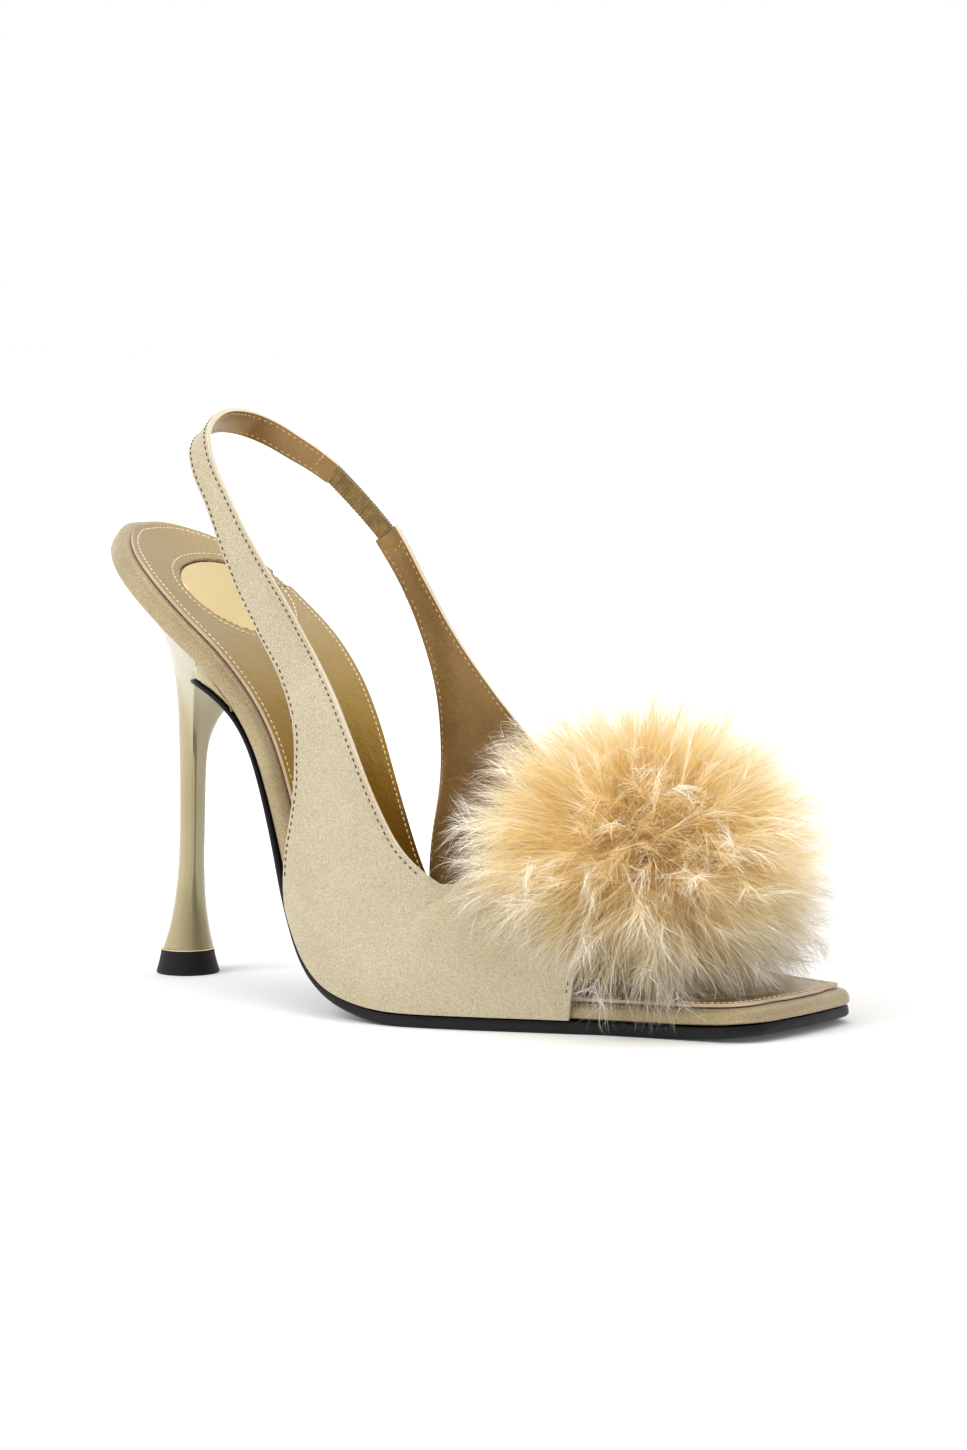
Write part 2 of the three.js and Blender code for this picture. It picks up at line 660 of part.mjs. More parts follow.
// Section of the heel's stem: round, with a flat breast towards the toe.
function stemPoint(angle, z) {
  const along = z / SEAT_HEIGHT;
  const radius = HEEL_STEM_RADIUS + (HEEL_TIP_RADIUS - HEEL_STEM_RADIUS) * flareAt(along);
  const ahead = HEEL_STEM_AHEAD * aheadAt(along);
  const reach = Math.min(Math.cos(angle), flatAt(along));
  return [ahead + radius * reach, radius * Math.sin(angle)];
}

const HEEL_ROWS = [0, 0.02, 0.05, 0.09, 0.14, 0.2, 0.3, 0.42, 0.54, 0.62, 0.7, 0.77, 0.83, 0.89, 0.94, 0.975, 1];
const FLARE_START = 0.6;
const FLARE_BACK = 2.3;
const FLARE_FRONT = 2.8;
const SEAT_MIDDLE = 4;

// How far the heel reaches into its neighbours' space before it is cut clear of them.
const HEEL_BURY = 1;
const EAR_BURY = 0.3;

// The heel block under the seat: its round back flares up from the stem, its breast is hollow.
function heelBlock() {
  const front = (HEEL_FRONT + HEEL_BACK) / SOLE_LENGTH;
  const sections = sectionsBetween(0, front, SEAT_ROUND * 0.8, 0);
  const outline = insetOutline(closedOutline(sections, halfWidth, 0), HEEL_INSET);
  const builder = meshBuilder();
  const tipHeight = TOP_LIFT_HEIGHT + GAP;
  const seatLift = underLift(HEEL_BURY);
  const rings = HEEL_ROWS.map((share) => outline.map(([x, y]) => {
    const seat = seatLift(x, y);
    if (share === 1) return builder.point(seat);
    const angle = Math.atan2(seat[1], seat[0] - SEAT_MIDDLE);
    const z = tipHeight + (seat[2] - tipHeight) * share;
    const stem = stemPoint(angle, z);
    const power = FLARE_BACK + (FLARE_FRONT - FLARE_BACK) * (1 + Math.cos(angle)) / 2;
    const flare = Math.max((share - FLARE_START) / (1 - FLARE_START), 0) ** power;
    return builder.point([stem[0] + (seat[0] - stem[0]) * flare, stem[1] + (seat[1] - stem[1]) * flare, z]);
  }));
  rings.slice(1).forEach((ring, k) => addBand(builder, ring, rings[k]));
  const tip = stemPoint(Math.PI / 2, tipHeight);
  const middle = builder.point([tip[0], 0, tipHeight]);
  rings[0].forEach((a, i) => builder.triangle(middle, rings[0][(i + 1) % outline.length], a));
  addCap(builder, outline, rings[rings.length - 1], sections.length, seatLift);
  return builder.geometry();
}

// The heel's front, which fills the space between the board and the tail and ends in a thin wedge.
function heelEars() {
  const sections = sectionsBetween(tailStart, earStart, tongueLength, 0);
  const outline = closedOutline(sections, outsoleWidth, 0);
  return plate(outline, sections.length, [
    { inset: HEEL_INSET, lift: underLift(HEEL_BURY) },
    { inset: HEEL_INSET, lift: (x, y) => solePoint(x, y, EAR_BURY) },
  ]);
}

function heel() {
  const block = toSolid(heelBlock()).add(toSolid(heelEars()));
  const whole = block.subtract(toSolid(boardSpace())).subtract(toSolid(outsoleSpace()));
  return toGeometry(largestOf(whole));
}

function topLift() {
  const steps = [
    { flare: 0.7, rise: 0 },
    { flare: 1.0, rise: 0.08 },
    { flare: 0.85, rise: 0.3 },
    { flare: 0.3, rise: 0.65 },
    { flare: 0.05, rise: 1 },
  ];
  const wall = steps.map((step) => new THREE.Vector2(
    HEEL_TIP_RADIUS + TOP_LIFT_FLARE * step.flare,
    TOP_LIFT_HEIGHT * step.rise,
  ));
  const profile = [new THREE.Vector2(0, 0), ...wall, new THREE.Vector2(0, TOP_LIFT_HEIGHT)];
  const geometry = new THREE.LatheGeometry(profile, 32);
  geometry.rotateX(Math.PI / 2);
  geometry.deleteAttribute('normal');
  geometry.deleteAttribute('uv');
  return facingOut(mergeVertices(geometry, 1e-4));
}

// Nearest footbed section to a point of the side view, and the point's height above it.
function footbedFoot(x, y, z) {
  let above = x;
  for (let turn = 0; turn < 12; turn += 1) {
    const slope = footbedSlope(above, y);
    const lift = z - footbedHeight(above, y);
    above += (x - above + lift * slope) / (1 + slope * slope);
  }
  const slope = footbedSlope(above, y);
  const height = (z - footbedHeight(above, y)) * Math.hypot(1, slope) / (1 + slope * slope);
  return { above, height };
}

const WALL_EASE = 0.35;
const WALL_CLEARANCE = GAP + WALL / 2 + WALL_EASE;
const WALL_LEAN = 0.7;
const THROAT_BULGE = 1.5;
const FREE_BULGE = 0.6;

// Keeps the middle of the wall outside the board's edge, and lets it lean in above it.
function clearOfBoard(side, point) {
  const foot = footbedFoot(point[0], point[1], point[2]);
  const edge = halfWidth(side, alongOf(foot.above, point[1])) + WALL_CLEARANCE;
  const least = edge - Math.max(foot.height - 0.5, 0) * WALL_LEAN;
  return [point[0], side * Math.max(side * point[1], least), point[2]];
}

// Lower end of a wall row: beside the board, flush with its underside.
function wallFoot(side, share) {
  const x = SOLE_LENGTH * share;
  let y = 0;
  for (let turn = 0; turn < 4; turn += 1) y = side * halfWidth(side, alongOf(x, y));
  const point = bedPoint(x, y, boardThickness(x, y));
  return [point[0], y + side * WALL_CLEARANCE, point[2]];
}

function mix(a, b, t) {
  return a.map((value, i) => value + (b[i] - value) * t);
}

// One row of the upper from its low to its high edge. crown bends it over the foot like an arch.
function wallRow(side, low, high, crown, bulge, columns) {
  const drop = high[2] - low[2];
  const out = [0, side * bulge, 0];
  const straightA = mix(low, high, 1 / 3);
  const straightB = mix(low, high, 2 / 3);
  const archA = [straightA[0], low[1], low[2] + drop * 0.62];
  const archB = [straightB[0], high[1] + (low[1] - high[1]) * 0.6, high[2]];
  const controlA = mix(straightA, archA, crown).map((value, i) => value + out[i]);
  const controlB = mix(straightB, archB, crown).map((value, i) => value + out[i]);
  const row = [];
  for (let k = 0; k <= columns; k += 1) {
    const t = k / columns;
    const s = 1 - t;
    const point = low.map((value, i) => s ** 3 * value + 3 * s * s * t * controlA[i]
      + 3 * s * t * t * controlB[i] + t ** 3 * high[i]);
    row.push(point);
  }
  return row;
}

const COLUMNS = 7;

function crownRows(side) {
  return CROWN.map((row) => {
    const high = [SOLE_LENGTH * row.x, BALL_WIDTH * row.y, STRAP_TOP * row.z];
    const low = wallFoot(side, side === LATERAL ? row.lateral : row.medial);
    const points = wallRow(side, low, high, 1, 0, COLUMNS);
    return points.map((point, k) => (k === COLUMNS ? point : clearOfBoard(side, point)));
  });
}

function throatRows(side, table) {
  return table.map((row) => {
    const high = [SOLE_LENGTH * row.x, side * BALL_WIDTH * row.y, STRAP_TOP * row.z];
    const low = wallFoot(side, row.foot);
    const points = wallRow(side, low, high, row.crown, THROAT_BULGE, COLUMNS);
    return points.map((point) => clearOfBoard(side, point));
  });
}

function freeRows(side, table) {
  return table.map((row) => {
    const low = [SOLE_LENGTH * row.lowX, side * BALL_WIDTH * row.lowY, STRAP_TOP * row.lowZ];
    const high = [SOLE_LENGTH * row.x, side * BALL_WIDTH * row.y, STRAP_TOP * row.z];
    const points = wallRow(side, low, high, 0, FREE_BULGE, COLUMNS);
    return points.map((point) => clearOfBoard(side, point));
  });
}

function strapMiddle() {
  const vector = (row) => new THREE.Vector3(SOLE_LENGTH * row.x, BALL_WIDTH * row.y, STRAP_TOP * row.z);
  return new THREE.CatmullRomCurve3(STRAP.map(vector), false, 'centripetal');
}

// Places along the strap, each with its middle, the direction of its width and its half width.
function strapStations() {
  const curve = strapMiddle();
  const steps = (STRAP.length - 1) * STRAP_STEPS;
  const stations = [];
  for (let i = 0; i <= steps; i += 1) {
    const row = Math.min(Math.floor(i / STRAP_STEPS), STRAP.length - 2);
    const t = i / STRAP_STEPS - row;
    const lean = THREE.MathUtils.degToRad(STRAP[row].lean * (1 - t) + STRAP[row + 1].lean * t);
    const half = STRAP_WIDTH / 2 * (STRAP[row].wide * (1 - t) + STRAP[row + 1].wide * t);
    const width = new THREE.Vector3(Math.cos(lean), 0, Math.sin(lean));
    stations.push({ middle: curve.getPoint(i / steps), width, half });
  }
  return stations;
}

function strapRows() {
  return strapStations().map(({ middle, width, half }) => {
    const low = middle.clone().addScaledVector(width, -half).toArray();
    const high = middle.clone().addScaledVector(width, half).toArray();
    const row = [];
    for (let k = 0; k <= COLUMNS; k += 1) row.push(mix(low, high, k / COLUMNS));
    return row;
  });
}

function upperRows() {
  const lateral = [...crownRows(LATERAL), ...throatRows(LATERAL, LATERAL_THROAT),
    ...freeRows(LATERAL, LATERAL_FREE), ...strapRows()];
  const medial = [...crownRows(MEDIAL), ...throatRows(MEDIAL, MEDIAL_THROAT),
    ...freeRows(MEDIAL, MEDIAL_FREE)];
  return { lateral, medial };
}

// Gives a sheet of triangles a wall: half to each side of it, closed along its free edges.
function thickened(points, triangles, wall) {
  const normals = points.map(() => new THREE.Vector3());
  const vectors = points.map((point) => new THREE.Vector3(...point));
  triangles.forEach(([a, b, c]) => {
    const ab = vectors[b].clone().sub(vectors[a]);
    const ac = vectors[c].clone().sub(vectors[a]);
    const normal = ab.cross(ac);
    [a, b, c].forEach((i) => normals[i].add(normal));
  });
  const builder = meshBuilder();
  const layer = (shift) => vectors.map((vector, i) => {
    const normal = normals[i].clone().normalize();
    return builder.point(vector.clone().addScaledVector(normal, shift).toArray());
  });
  const outer = layer(wall / 2);
  const inner = layer(-wall / 2);
  const edges = new Map();
  triangles.forEach(([a, b, c]) => {
    builder.triangle(outer[a], outer[b], outer[c]);
    builder.triangle(inner[a], inner[c], inner[b]);
    [[a, b], [b, c], [c, a]].forEach(([from, to]) => edges.set(`${from}_${to}`, [from, to]));
  });
  edges.forEach(([from, to]) => {
    if (edges.has(`${to}_${from}`)) return;
    builder.quad(outer[to], outer[from], inner[from], inner[to]);
  });
  return builder.geometry();
}

// Triangles of a grid of rows. shared gives the point numbers that another grid already made.
function gridSheet(rows, points, shared, turned) {
  const triangles = [];
  const numbers = rows.map((row, i) => row.map((point, k) => {
    const known = shared(i, k);
    if (known !== undefined) return known;
    points.push(point);
    return points.length - 1;
  }));
  for (let i = 0; i + 1 < rows.length; i += 1) {
    for (let k = 0; k < COLUMNS; k += 1) {
      const corner = [numbers[i][k], numbers[i + 1][k], numbers[i + 1][k + 1], numbers[i][k + 1]];
      const [a, b, c, d] = turned ? corner.reverse() : corner;
      triangles.push([a, b, c], [a, c, d]);
    }
  }
  return { numbers, triangles };
}

// Vamp, both quarters and the heel strap are one wall; the two sides join along the crown line.
function upper() {
  const { lateral, medial } = upperRows();
  const points = [];
  const first = gridSheet(lateral, points, () => undefined, false);
  const crownShared = (i, k) => (k === COLUMNS && i < CROWN.length ? first.numbers[i][k] : undefined);
  const second = gridSheet(medial, points, crownShared, true);
  return thickened(points, [...first.triangles, ...second.triangles], WALL);
}

const ELASTIC_CLEARANCE = 1.6 * GAP;
const ELASTIC_STEPS = 5;

// Elastic gore between the strap's medial end and the medial quarter's top.
function elastic() {
  const stations = strapStations();
  const end = stations[stations.length - 1];
  const { medial } = upperRows();
  const quarter = medial[medial.length - 1];
  const low = new THREE.Vector3(...quarter[0]);
  const high = new THREE.Vector3(...quarter[COLUMNS]);
  const from = end.middle;
  const to = low.clone().add(high).multiplyScalar(0.5);
  const along = to.clone().sub(from);
  const length = along.length();
  along.normalize();
  const quarterWidth = high.clone().sub(low).normalize();
  const points = [];
  const triangles = [];
  for (let i = 0; i <= ELASTIC_STEPS; i += 1) {
    const t = i / ELASTIC_STEPS;
    const place = ELASTIC_CLEARANCE + (length - 2 * ELASTIC_CLEARANCE) * t;
    const width = end.width.clone().lerp(quarterWidth, t).normalize().multiplyScalar(ELASTIC_WIDTH / 2);
    const middle = from.clone().addScaledVector(along, place);
    middle.y += ELASTIC_BOW * Math.sin(Math.PI * t);
    points.push(middle.clone().sub(width).toArray(), middle.clone().add(width).toArray());
    if (i > 0) triangles.push([2 * i - 2, 2 * i, 2 * i + 1], [2 * i - 2, 2 * i + 1, 2 * i - 1]);
  }
  return thickened(points, triangles, ELASTIC_THICKNESS);
}

// The space under the vamp's outer face down to the floor, with a clearance, for cutting the pompom.
function vampSpace() {
  const { lateral, medial } = upperRows();
  const grow = WALL / 2 + GAP;
  const builder = meshBuilder();
  const rings = CROWN.map((_, i) => {
    const arch = [...lateral[i], ...medial[i].slice(0, COLUMNS).reverse()];
    const ring = arch.map(([x, y, z], k) => {
      const before = arch[Math.max(k - 1, 0)];
      const after = arch[Math.min(k + 1, arch.length - 1)];
      const dy = after[1] - before[1];
      const dz = after[2] - before[2];
      const length = Math.hypot(dy, dz);
      return [x + (i === 0 ? grow : 0), y - dz / length * grow, z + dy / length * grow];
    });
    const first = ring[0];
    const last = ring[ring.length - 1];
    return [...ring, [last[0], last[1], 0], [first[0], first[1], 0]].map((point) => builder.point(point));
  });
  rings.slice(1).forEach((ring, k) => addBand(builder, ring, rings[k]));
  const cap = (ring, turned) => {
    const count = ring.length;
    for (let i = 1; i + 1 < count; i += 1) {
      if (turned) builder.triangle(ring[0], ring[i + 1], ring[i]);
      else builder.triangle(ring[0], ring[i], ring[i + 1]);
    }
  };
  cap(rings[0], true);
  cap(rings[rings.length - 1], false);
  return builder.geometry();
}

// The space of the sole under the pompom: past the sole's edge, and down below the floor.
const BED_REACH = 6;
const BED_DEPTH = 36;

// One lock of feathers: a bent cone that starts inside the core.
function lock(direction, length) {
  const start = POMPOM_CORE * 0.72;
  const height = length - start;
  const cone = new THREE.ConeGeometry(LOCK_RADIUS, height, 5, 2);
  cone.translate(0, start + height / 2, 0);
  const turn = new THREE.Quaternion().setFromUnitVectors(new THREE.Vector3(0, 1, 0), direction);
  cone.applyQuaternion(turn);
  const position = cone.getAttribute('position');
  for (let i = 0; i < position.count; i += 1) {
    const reach = Math.hypot(position.getX(i), position.getY(i), position.getZ(i)) - start;
    const sag = LOCK_SAG * (Math.max(reach, 0) / height) ** 2;
    position.setZ(i, position.getZ(i) - sag);
  }
  return cone.translate(...POMPOM_CENTRE);
}

function pompom() {
  const core = new THREE.SphereGeometry(POMPOM_CORE, 22, 14);
  core.rotateX(Math.PI / 2).translate(...POMPOM_CENTRE);
  let whole = toSolid(core);
  const turn = Math.PI * (3 - Math.sqrt(5));
  for (let i = 0; i < LOCK_COUNT; i += 1) {
    const up = 1 - 2 * (i + 0.5) / LOCK_COUNT;
    const round = Math.sqrt(1 - up * up);
    const direction = new THREE.Vector3(round * Math.cos(turn * i), round * Math.sin(turn * i), up);
    const hidden = direction.z < -0.35 && direction.x < 0.25;
    if (hidden) continue;
    const length = POMPOM_RADIUS * (0.9 + 0.1 * Math.cos(2.3 * i));
    whole = whole.add(toSolid(lock(direction, length)));
  }
  const bed = plate(boardOutline, boardSections.length, [
    { inset: -BED_REACH, lift: boardLift(-GAP * 2 - SOCK_THICKNESS) },
    { inset: -BED_REACH, lift: boardLift(BED_DEPTH) },
  ]);
  whole = whole.subtract(toSolid(vampSpace())).subtract(toSolid(bed));
  return toGeometry(largestOf(whole));
}

const part = new THREE.Group();

function addPiece(name, geometry, color, roughness, metalness) {
  const material = new THREE.MeshStandardMaterial({ color, roughness, metalness });
  const mesh = new THREE.Mesh(geometry, material);
  mesh.name = name;
  part.add(mesh);
}

addPiece('outsole', outsole(), 0x27272a, 0.35, 0);
addPiece('insole_board', insoleBoard(), 0xd7cbaf, 0.5, 0);
addPiece('sock_lining', sockLining(), 0xb08c4c, 0.35, 0.4);
addPiece('plaque', plaque(), 0xefdcaa, 0.12, 1);
addPiece('heel', heel(), 0xccbf9d, 0.15, 0);
addPiece('top_lift', topLift(), 0x272526, 0.4, 0);
addPiece('upper', upper(), 0xdcd1b3, 0.45, 0);
addPiece('elastic', elastic(), 0x9a804f, 0.8, 0);
addPiece('pompom', pompom(), 0xe2c88f, 0.9, 0);

export default part;
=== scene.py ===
"""Right slingback sandal with a feather pompom, dressed on its frame and set in a plain studio.

Everything is in metres: X runs forward to the toe, Y to the inner side, Z up from the floor.
"""

from __future__ import annotations

import logging
import math
from dataclasses import dataclass, field
from enum import Enum

import bmesh
import bpy
import numpy as np
from mathutils import Matrix, Vector
from mathutils.bvhtree import BVHTree


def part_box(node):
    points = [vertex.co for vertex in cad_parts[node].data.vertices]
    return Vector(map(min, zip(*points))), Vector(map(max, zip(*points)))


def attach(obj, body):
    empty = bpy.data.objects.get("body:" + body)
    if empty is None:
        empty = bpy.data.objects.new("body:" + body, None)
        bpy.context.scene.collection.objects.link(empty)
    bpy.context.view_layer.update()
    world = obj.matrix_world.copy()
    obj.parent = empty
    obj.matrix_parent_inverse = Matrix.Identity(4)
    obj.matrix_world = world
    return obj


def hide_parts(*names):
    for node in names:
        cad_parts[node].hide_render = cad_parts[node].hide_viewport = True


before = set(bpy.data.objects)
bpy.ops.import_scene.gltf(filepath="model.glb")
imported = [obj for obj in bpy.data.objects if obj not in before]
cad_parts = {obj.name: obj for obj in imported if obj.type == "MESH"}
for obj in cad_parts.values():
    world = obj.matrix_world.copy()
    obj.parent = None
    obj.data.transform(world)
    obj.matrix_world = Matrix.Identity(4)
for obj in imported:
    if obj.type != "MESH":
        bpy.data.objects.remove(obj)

LOG = logging.getLogger("sandal")
BODY = "root"
MM = 0.001
MERGE = 0.01 * MM
FLAT_BEND = math.radians(50)
FLAT_SKEW = math.radians(70)
DOWN = Vector((0.0, 0.0, -1.0))
WHITE = (1.0, 1.0, 1.0, 1.0)
FEATHER_CENTRE = Vector((0.137, -0.002, 0.036))

Color = tuple[float, float, float]
Span = tuple[float, float]
Ground = tuple[np.ndarray, np.ndarray, np.ndarray]
Chance = np.random.Generator
Shape = bmesh.types.BMesh
Nodes = bpy.types.NodeTree
Node = bpy.types.Node
Socket = bpy.types.NodeSocket


def srgb(red: int, green: int, blue: int) -> Color:
    """A colour given as it looks on a screen, 0 to 255, turned into light values."""

    def light(value: int) -> float:
        """One channel as a light value."""
        share = value / 255
        return share / 12.92 if share <= 0.04045 else ((share + 0.055) / 1.055) ** 2.4

    return light(red), light(green), light(blue)


def added(tree: Nodes, kind: str, inputs: dict[str | int, Socket | float], **settings: str) -> Node:
    """Adds a node.

    Args:
        tree: the nodes that it joins.
        kind: its kind.
        inputs: what goes into each input: the output of another node, or a fixed value.
        settings: its other settings.

    Returns:
        The node.
    """
    node = tree.nodes.new(kind)
    for name, setting in settings.items():
        setattr(node, name, setting)
    for name, given in inputs.items():
        if isinstance(given, Socket):
            tree.links.new(given, node.inputs[name])
        else:
            node.inputs[name].default_value = given
    return node


def ranged(tree: Nodes, value: Socket, source: Span, target: Span, ease: str = "LINEAR") -> Socket:
    """Turns one range of a value into another.

    Args:
        tree: the nodes.
        value: the value.
        source: the range that it comes in.
        target: the range that it gets.
        ease: how it runs from end to end.

    Returns:
        The new value.
    """
    ends = dict(zip(("From Min", "From Max", "To Min", "To Max"), (*source, *target)))
    node = added(tree, "ShaderNodeMapRange", {"Value": value, **ends}, interpolation_type=ease)
    return node.outputs["Result"]


class Relief(Enum):
    """Kinds of fine relief on a finish."""

    GRAIN = "grain"
    CELLS = "cells"
    WEAVE = "weave"


@dataclass(frozen=True)
class Grain:
    """One layer of fine relief.

    Args:
        kind: what the relief looks like.
        size: size of one grain.
        height: how deep it is.
    """

    kind: Relief
    size: float
    height: float


@dataclass(frozen=True)
class Finish:
    """A surface finish made of a colour that drifts, a gloss and layers of fine relief.

    Args:
        name: the material's name.
        color: the lighter colour.
        shade: the darker colour.
        drift: size of the patches in which the colour changes.
        speckle: how much darker the darkest speckles are.
        speckle_size: size of one speckle.
        roughness: the mean roughness.
        roughness_spread: how far it strays from that.
        metallic: share of metal.
        sheen: strength of the cloth's sheen.
        coat: strength of the clear coat.
        coat_roughness: the coat's roughness.
        specular: strength of the reflection.
        grains: the layers of relief.
        patch: where in the noise the two colours begin.
        speckle_span: the part of the noise that the speckles use.
        speckle_lift: how light the lightest speckles are, as a share of the darkest.
        gloss_patch: size of the patches of gloss, as a share of the drift.
        thread: bands of the weave in its size.
        wobble: how uneven the weave is.
        detail: how fine the noise gets.
    """

    name: str
    color: Color
    shade: Color
    drift: float = 0.02
    speckle: float = 0.0
    speckle_size: float = 0.0004
    roughness: float = 0.5
    roughness_spread: float = 0.06
    metallic: float = 0.0
    sheen: float = 0.0
    coat: float = 0.0
    coat_roughness: float = 0.05
    specular: float = 0.5
    grains: tuple[Grain, ...] = ()
    patch: Span = (0.35, 0.65)
    speckle_span: Span = (0.3, 0.7)
    speckle_lift: float = 0.5
    gloss_patch: float = 0.6
    thread: float = 0.31
    wobble: float = 2.0
    detail: float = 3.0

    def material(self) -> bpy.types.Material:
        """The finish as a material, made once and then shared.

        Returns:
            The material.
        """
        known = bpy.data.materials.get(self.name)
        if known:
            return known
        material = bpy.data.materials.new(self.name)
        material.use_nodes = True
        tree = material.node_tree
        shader = tree.nodes["Principled BSDF"]
        shader.inputs["Metallic"].default_value = self.metallic
        shader.inputs["Sheen Weight"].default_value = self.sheen
        shader.inputs["Coat Weight"].default_value = self.coat
        shader.inputs["Coat Roughness"].default_value = self.coat_roughness
        shader.inputs["Specular IOR Level"].default_value = self.specular
        place = tree.nodes.new("ShaderNodeTexCoord").outputs["Object"]
        tree.links.new(self._speckled_color(tree, place), shader.inputs["Base Color"])
        tree.links.new(self._roughness(tree, place), shader.inputs["Roughness"])
        if self.grains:
            tree.links.new(self._relief(tree, place), shader.inputs["Normal"])
        return material

    def _noise(self, tree: Nodes, place: Socket, size: float) -> Socket:
        """A noise pattern.

        Args:
            tree: the material's nodes.
            place: the coordinates it follows.
            size: the size of its patches.

        Returns:
            The pattern, from 0 to 1.
        """
        inputs = {"Vector": place, "Scale": 1.0 / size, "Detail": self.detail}
        return added(tree, "ShaderNodeTexNoise", inputs).outputs["Fac"]

    def _base_color(self, tree: Nodes, place: Socket) -> Socket:
        """The colour that drifts in wide patches between the finish's two colours.

        Args:
            tree: the material's nodes.
            place: the coordinates it follows.

        Returns:
            The colour.
        """
        ramp = added(tree, "ShaderNodeValToRGB", {"Fac": self._noise(tree, place, self.drift)})
        for stop, position, color in zip(ramp.color_ramp.elements, self.patch, (self.shade, self.color)):
            stop.position = position
            stop.color = (*color, 1.0)
        return ramp.outputs["Color"]

    def _speckled_color(self, tree: Nodes, place: Socket) -> Socket:
        """The colour with a fine speckle over it.

        Args:
            tree: the material's nodes.
            place: the coordinates the pattern follows.

        Returns:
            The colour.
        """
        color = self._base_color(tree, place)
        if not self.speckle:
            return color
        limits = (1.0 - self.speckle, 1.0 + self.speckle * self.speckle_lift)
        noise = self._noise(tree, place, self.speckle_size)
        inputs = {0: color, "Scale": ranged(tree, noise, self.speckle_span, limits)}
        return added(tree, "ShaderNodeVectorMath", inputs, operation="SCALE").outputs["Vector"]

    def _roughness(self, tree: Nodes, place: Socket) -> Socket:
        """A gloss that changes a little from place to place.

        Args:
            tree: the material's nodes.
            place: the coordinates the pattern follows.

        Returns:
            The roughness.
        """
        limits = (self.roughness - self.roughness_spread, self.roughness + self.roughness_spread)
        return ranged(tree, self._noise(tree, place, self.drift * self.gloss_patch), (0.0, 1.0), limits)

    def _relief(self, tree: Nodes, place: Socket) -> Socket:
        """The layers of fine relief, one on the other.

        Args:
            tree: the material's nodes.
            place: the coordinates the pattern follows.

        Returns:
            The direction of the surface with the relief on it.
        """
        below = {}
        for grain in self.grains:
            if grain.kind is Relief.GRAIN:
                height = self._noise(tree, place, grain.size)
            elif grain.kind is Relief.CELLS:
                inputs = {"Vector": place, "Scale": 1.0 / grain.size}
                height = added(tree, "ShaderNodeTexVoronoi", inputs).outputs["Distance"]
            else:
                inputs = {"Vector": place, "Scale": self.thread / grain.size}
                inputs |= {"Distortion": self.wobble, "Detail Scale": self.wobble}
                wave = added(tree, "ShaderNodeTexWave", inputs, bands_direction="DIAGONAL")
                height = wave.outputs["Fac"]
            inputs = {"Distance": grain.height, "Height": height}
            below = {"Normal": added(tree, "ShaderNodeBump", inputs | below).outputs["Normal"]}
        return below["Normal"]


@dataclass(frozen=True)
class SheenPaintedSockLeather(Finish):
    """Metallic golden leather, painted paler at the heel and the toe: a painted sheen, the reflection that
    the metal shows there.

    Args:
        heel: the colour at the heel, the leather's own colour paled by the painted sheen.
        toe: the colour at the toe, paled by the painted sheen in the same way.
        length: where the sock begins and ends along the shoe.
        seat_end: where the heel's colour ends, as a share of the length.
        arch: where the arch's lighter and darker colours lie.
        toe_start: where the toe's colour begins.
    """

    heel: Color = (0.5, 0.4, 0.3)
    toe: Color = (0.5, 0.4, 0.3)
    length: Span = (-0.015, 0.182)
    seat_end: float = 0.18
    arch: Span = (0.34, 0.62)
    toe_start: float = 0.9

    def _base_color(self, tree: Nodes, place: Socket) -> Socket:
        """The colour runs along the shoe from heel to toe, with the painted sheen at both ends.

        Args:
            tree: the material's nodes.
            place: the coordinates it follows.

        Returns:
            The colour.
        """
        split = added(tree, "ShaderNodeSeparateXYZ", {"Vector": place})
        along = ranged(tree, split.outputs["X"], self.length, (0.0, 1.0))
        ramp = added(tree, "ShaderNodeValToRGB", {"Fac": along})
        # The stops at both ends carry the painted sheen of heel and toe.
        back, front = ramp.color_ramp.elements
        back.color = (*self.heel, 1.0)
        front.position = self.toe_start
        front.color = (*self.toe, 1.0)
        between = ((self.seat_end, self.heel), (self.arch[0], self.color), (self.arch[1], self.shade))
        for position, color in between:
            ramp.color_ramp.elements.new(position).color = (*color, 1.0)
        return ramp.outputs["Color"]


@dataclass(frozen=True)
class PlumeFinish(Finish):
    """Feather, whose colour is carried by the barbs themselves from root to tip.

    Args:
        tint: the name of the colour attribute.
        glow: strength of a painted glow: the barbs emit their own colour a little, standing in for the light
            that they pass on to each other.
    """

    tint: str = "tint"
    glow: float = 0.025

    def _base_color(self, tree: Nodes, place: Socket) -> Socket:
        """The colour of each barb, also used for its painted glow.

        Args:
            tree: the material's nodes.
            place: the coordinates, which this colour doesn't need.

        Returns:
            The colour.
        """
        attribute = added(tree, "ShaderNodeAttribute", {}, attribute_name=self.tint)
        shader = tree.nodes["Principled BSDF"]
        # The barbs glow faintly in their own colour: a painted glow.
        tree.links.new(attribute.outputs["Color"], shader.inputs["Emission Color"])
        shader.inputs["Emission Strength"].default_value = self.glow
        return attribute.outputs["Color"]


SATIN_GRAINS = (
    Grain(Relief.WEAVE, 0.00045, 0.00005),
    Grain(Relief.GRAIN, 0.0006, 0.00009),
    Grain(Relief.GRAIN, 0.006, 0.00025),
)
SATIN = Finish(
    "satin",
    srgb(192, 179, 150),
    srgb(184, 170, 139),
    speckle=0.28,
    speckle_size=0.00045,
    roughness=0.42,
    metallic=0.15,
    sheen=0.25,
    grains=SATIN_GRAINS,
)
# A lighter copy of the satin for the upper's folded edges: a painted highlight along every edge.
SATIN_EDGE_PAINTED_HIGHLIGHT = Finish(
    "satin_edge_painted_highlight",
    srgb(226, 214, 190),
    srgb(216, 200, 172),
    roughness=0.5,
    sheen=0.2,
    grains=(Grain(Relief.GRAIN, 0.0006, 0.00004),),
)
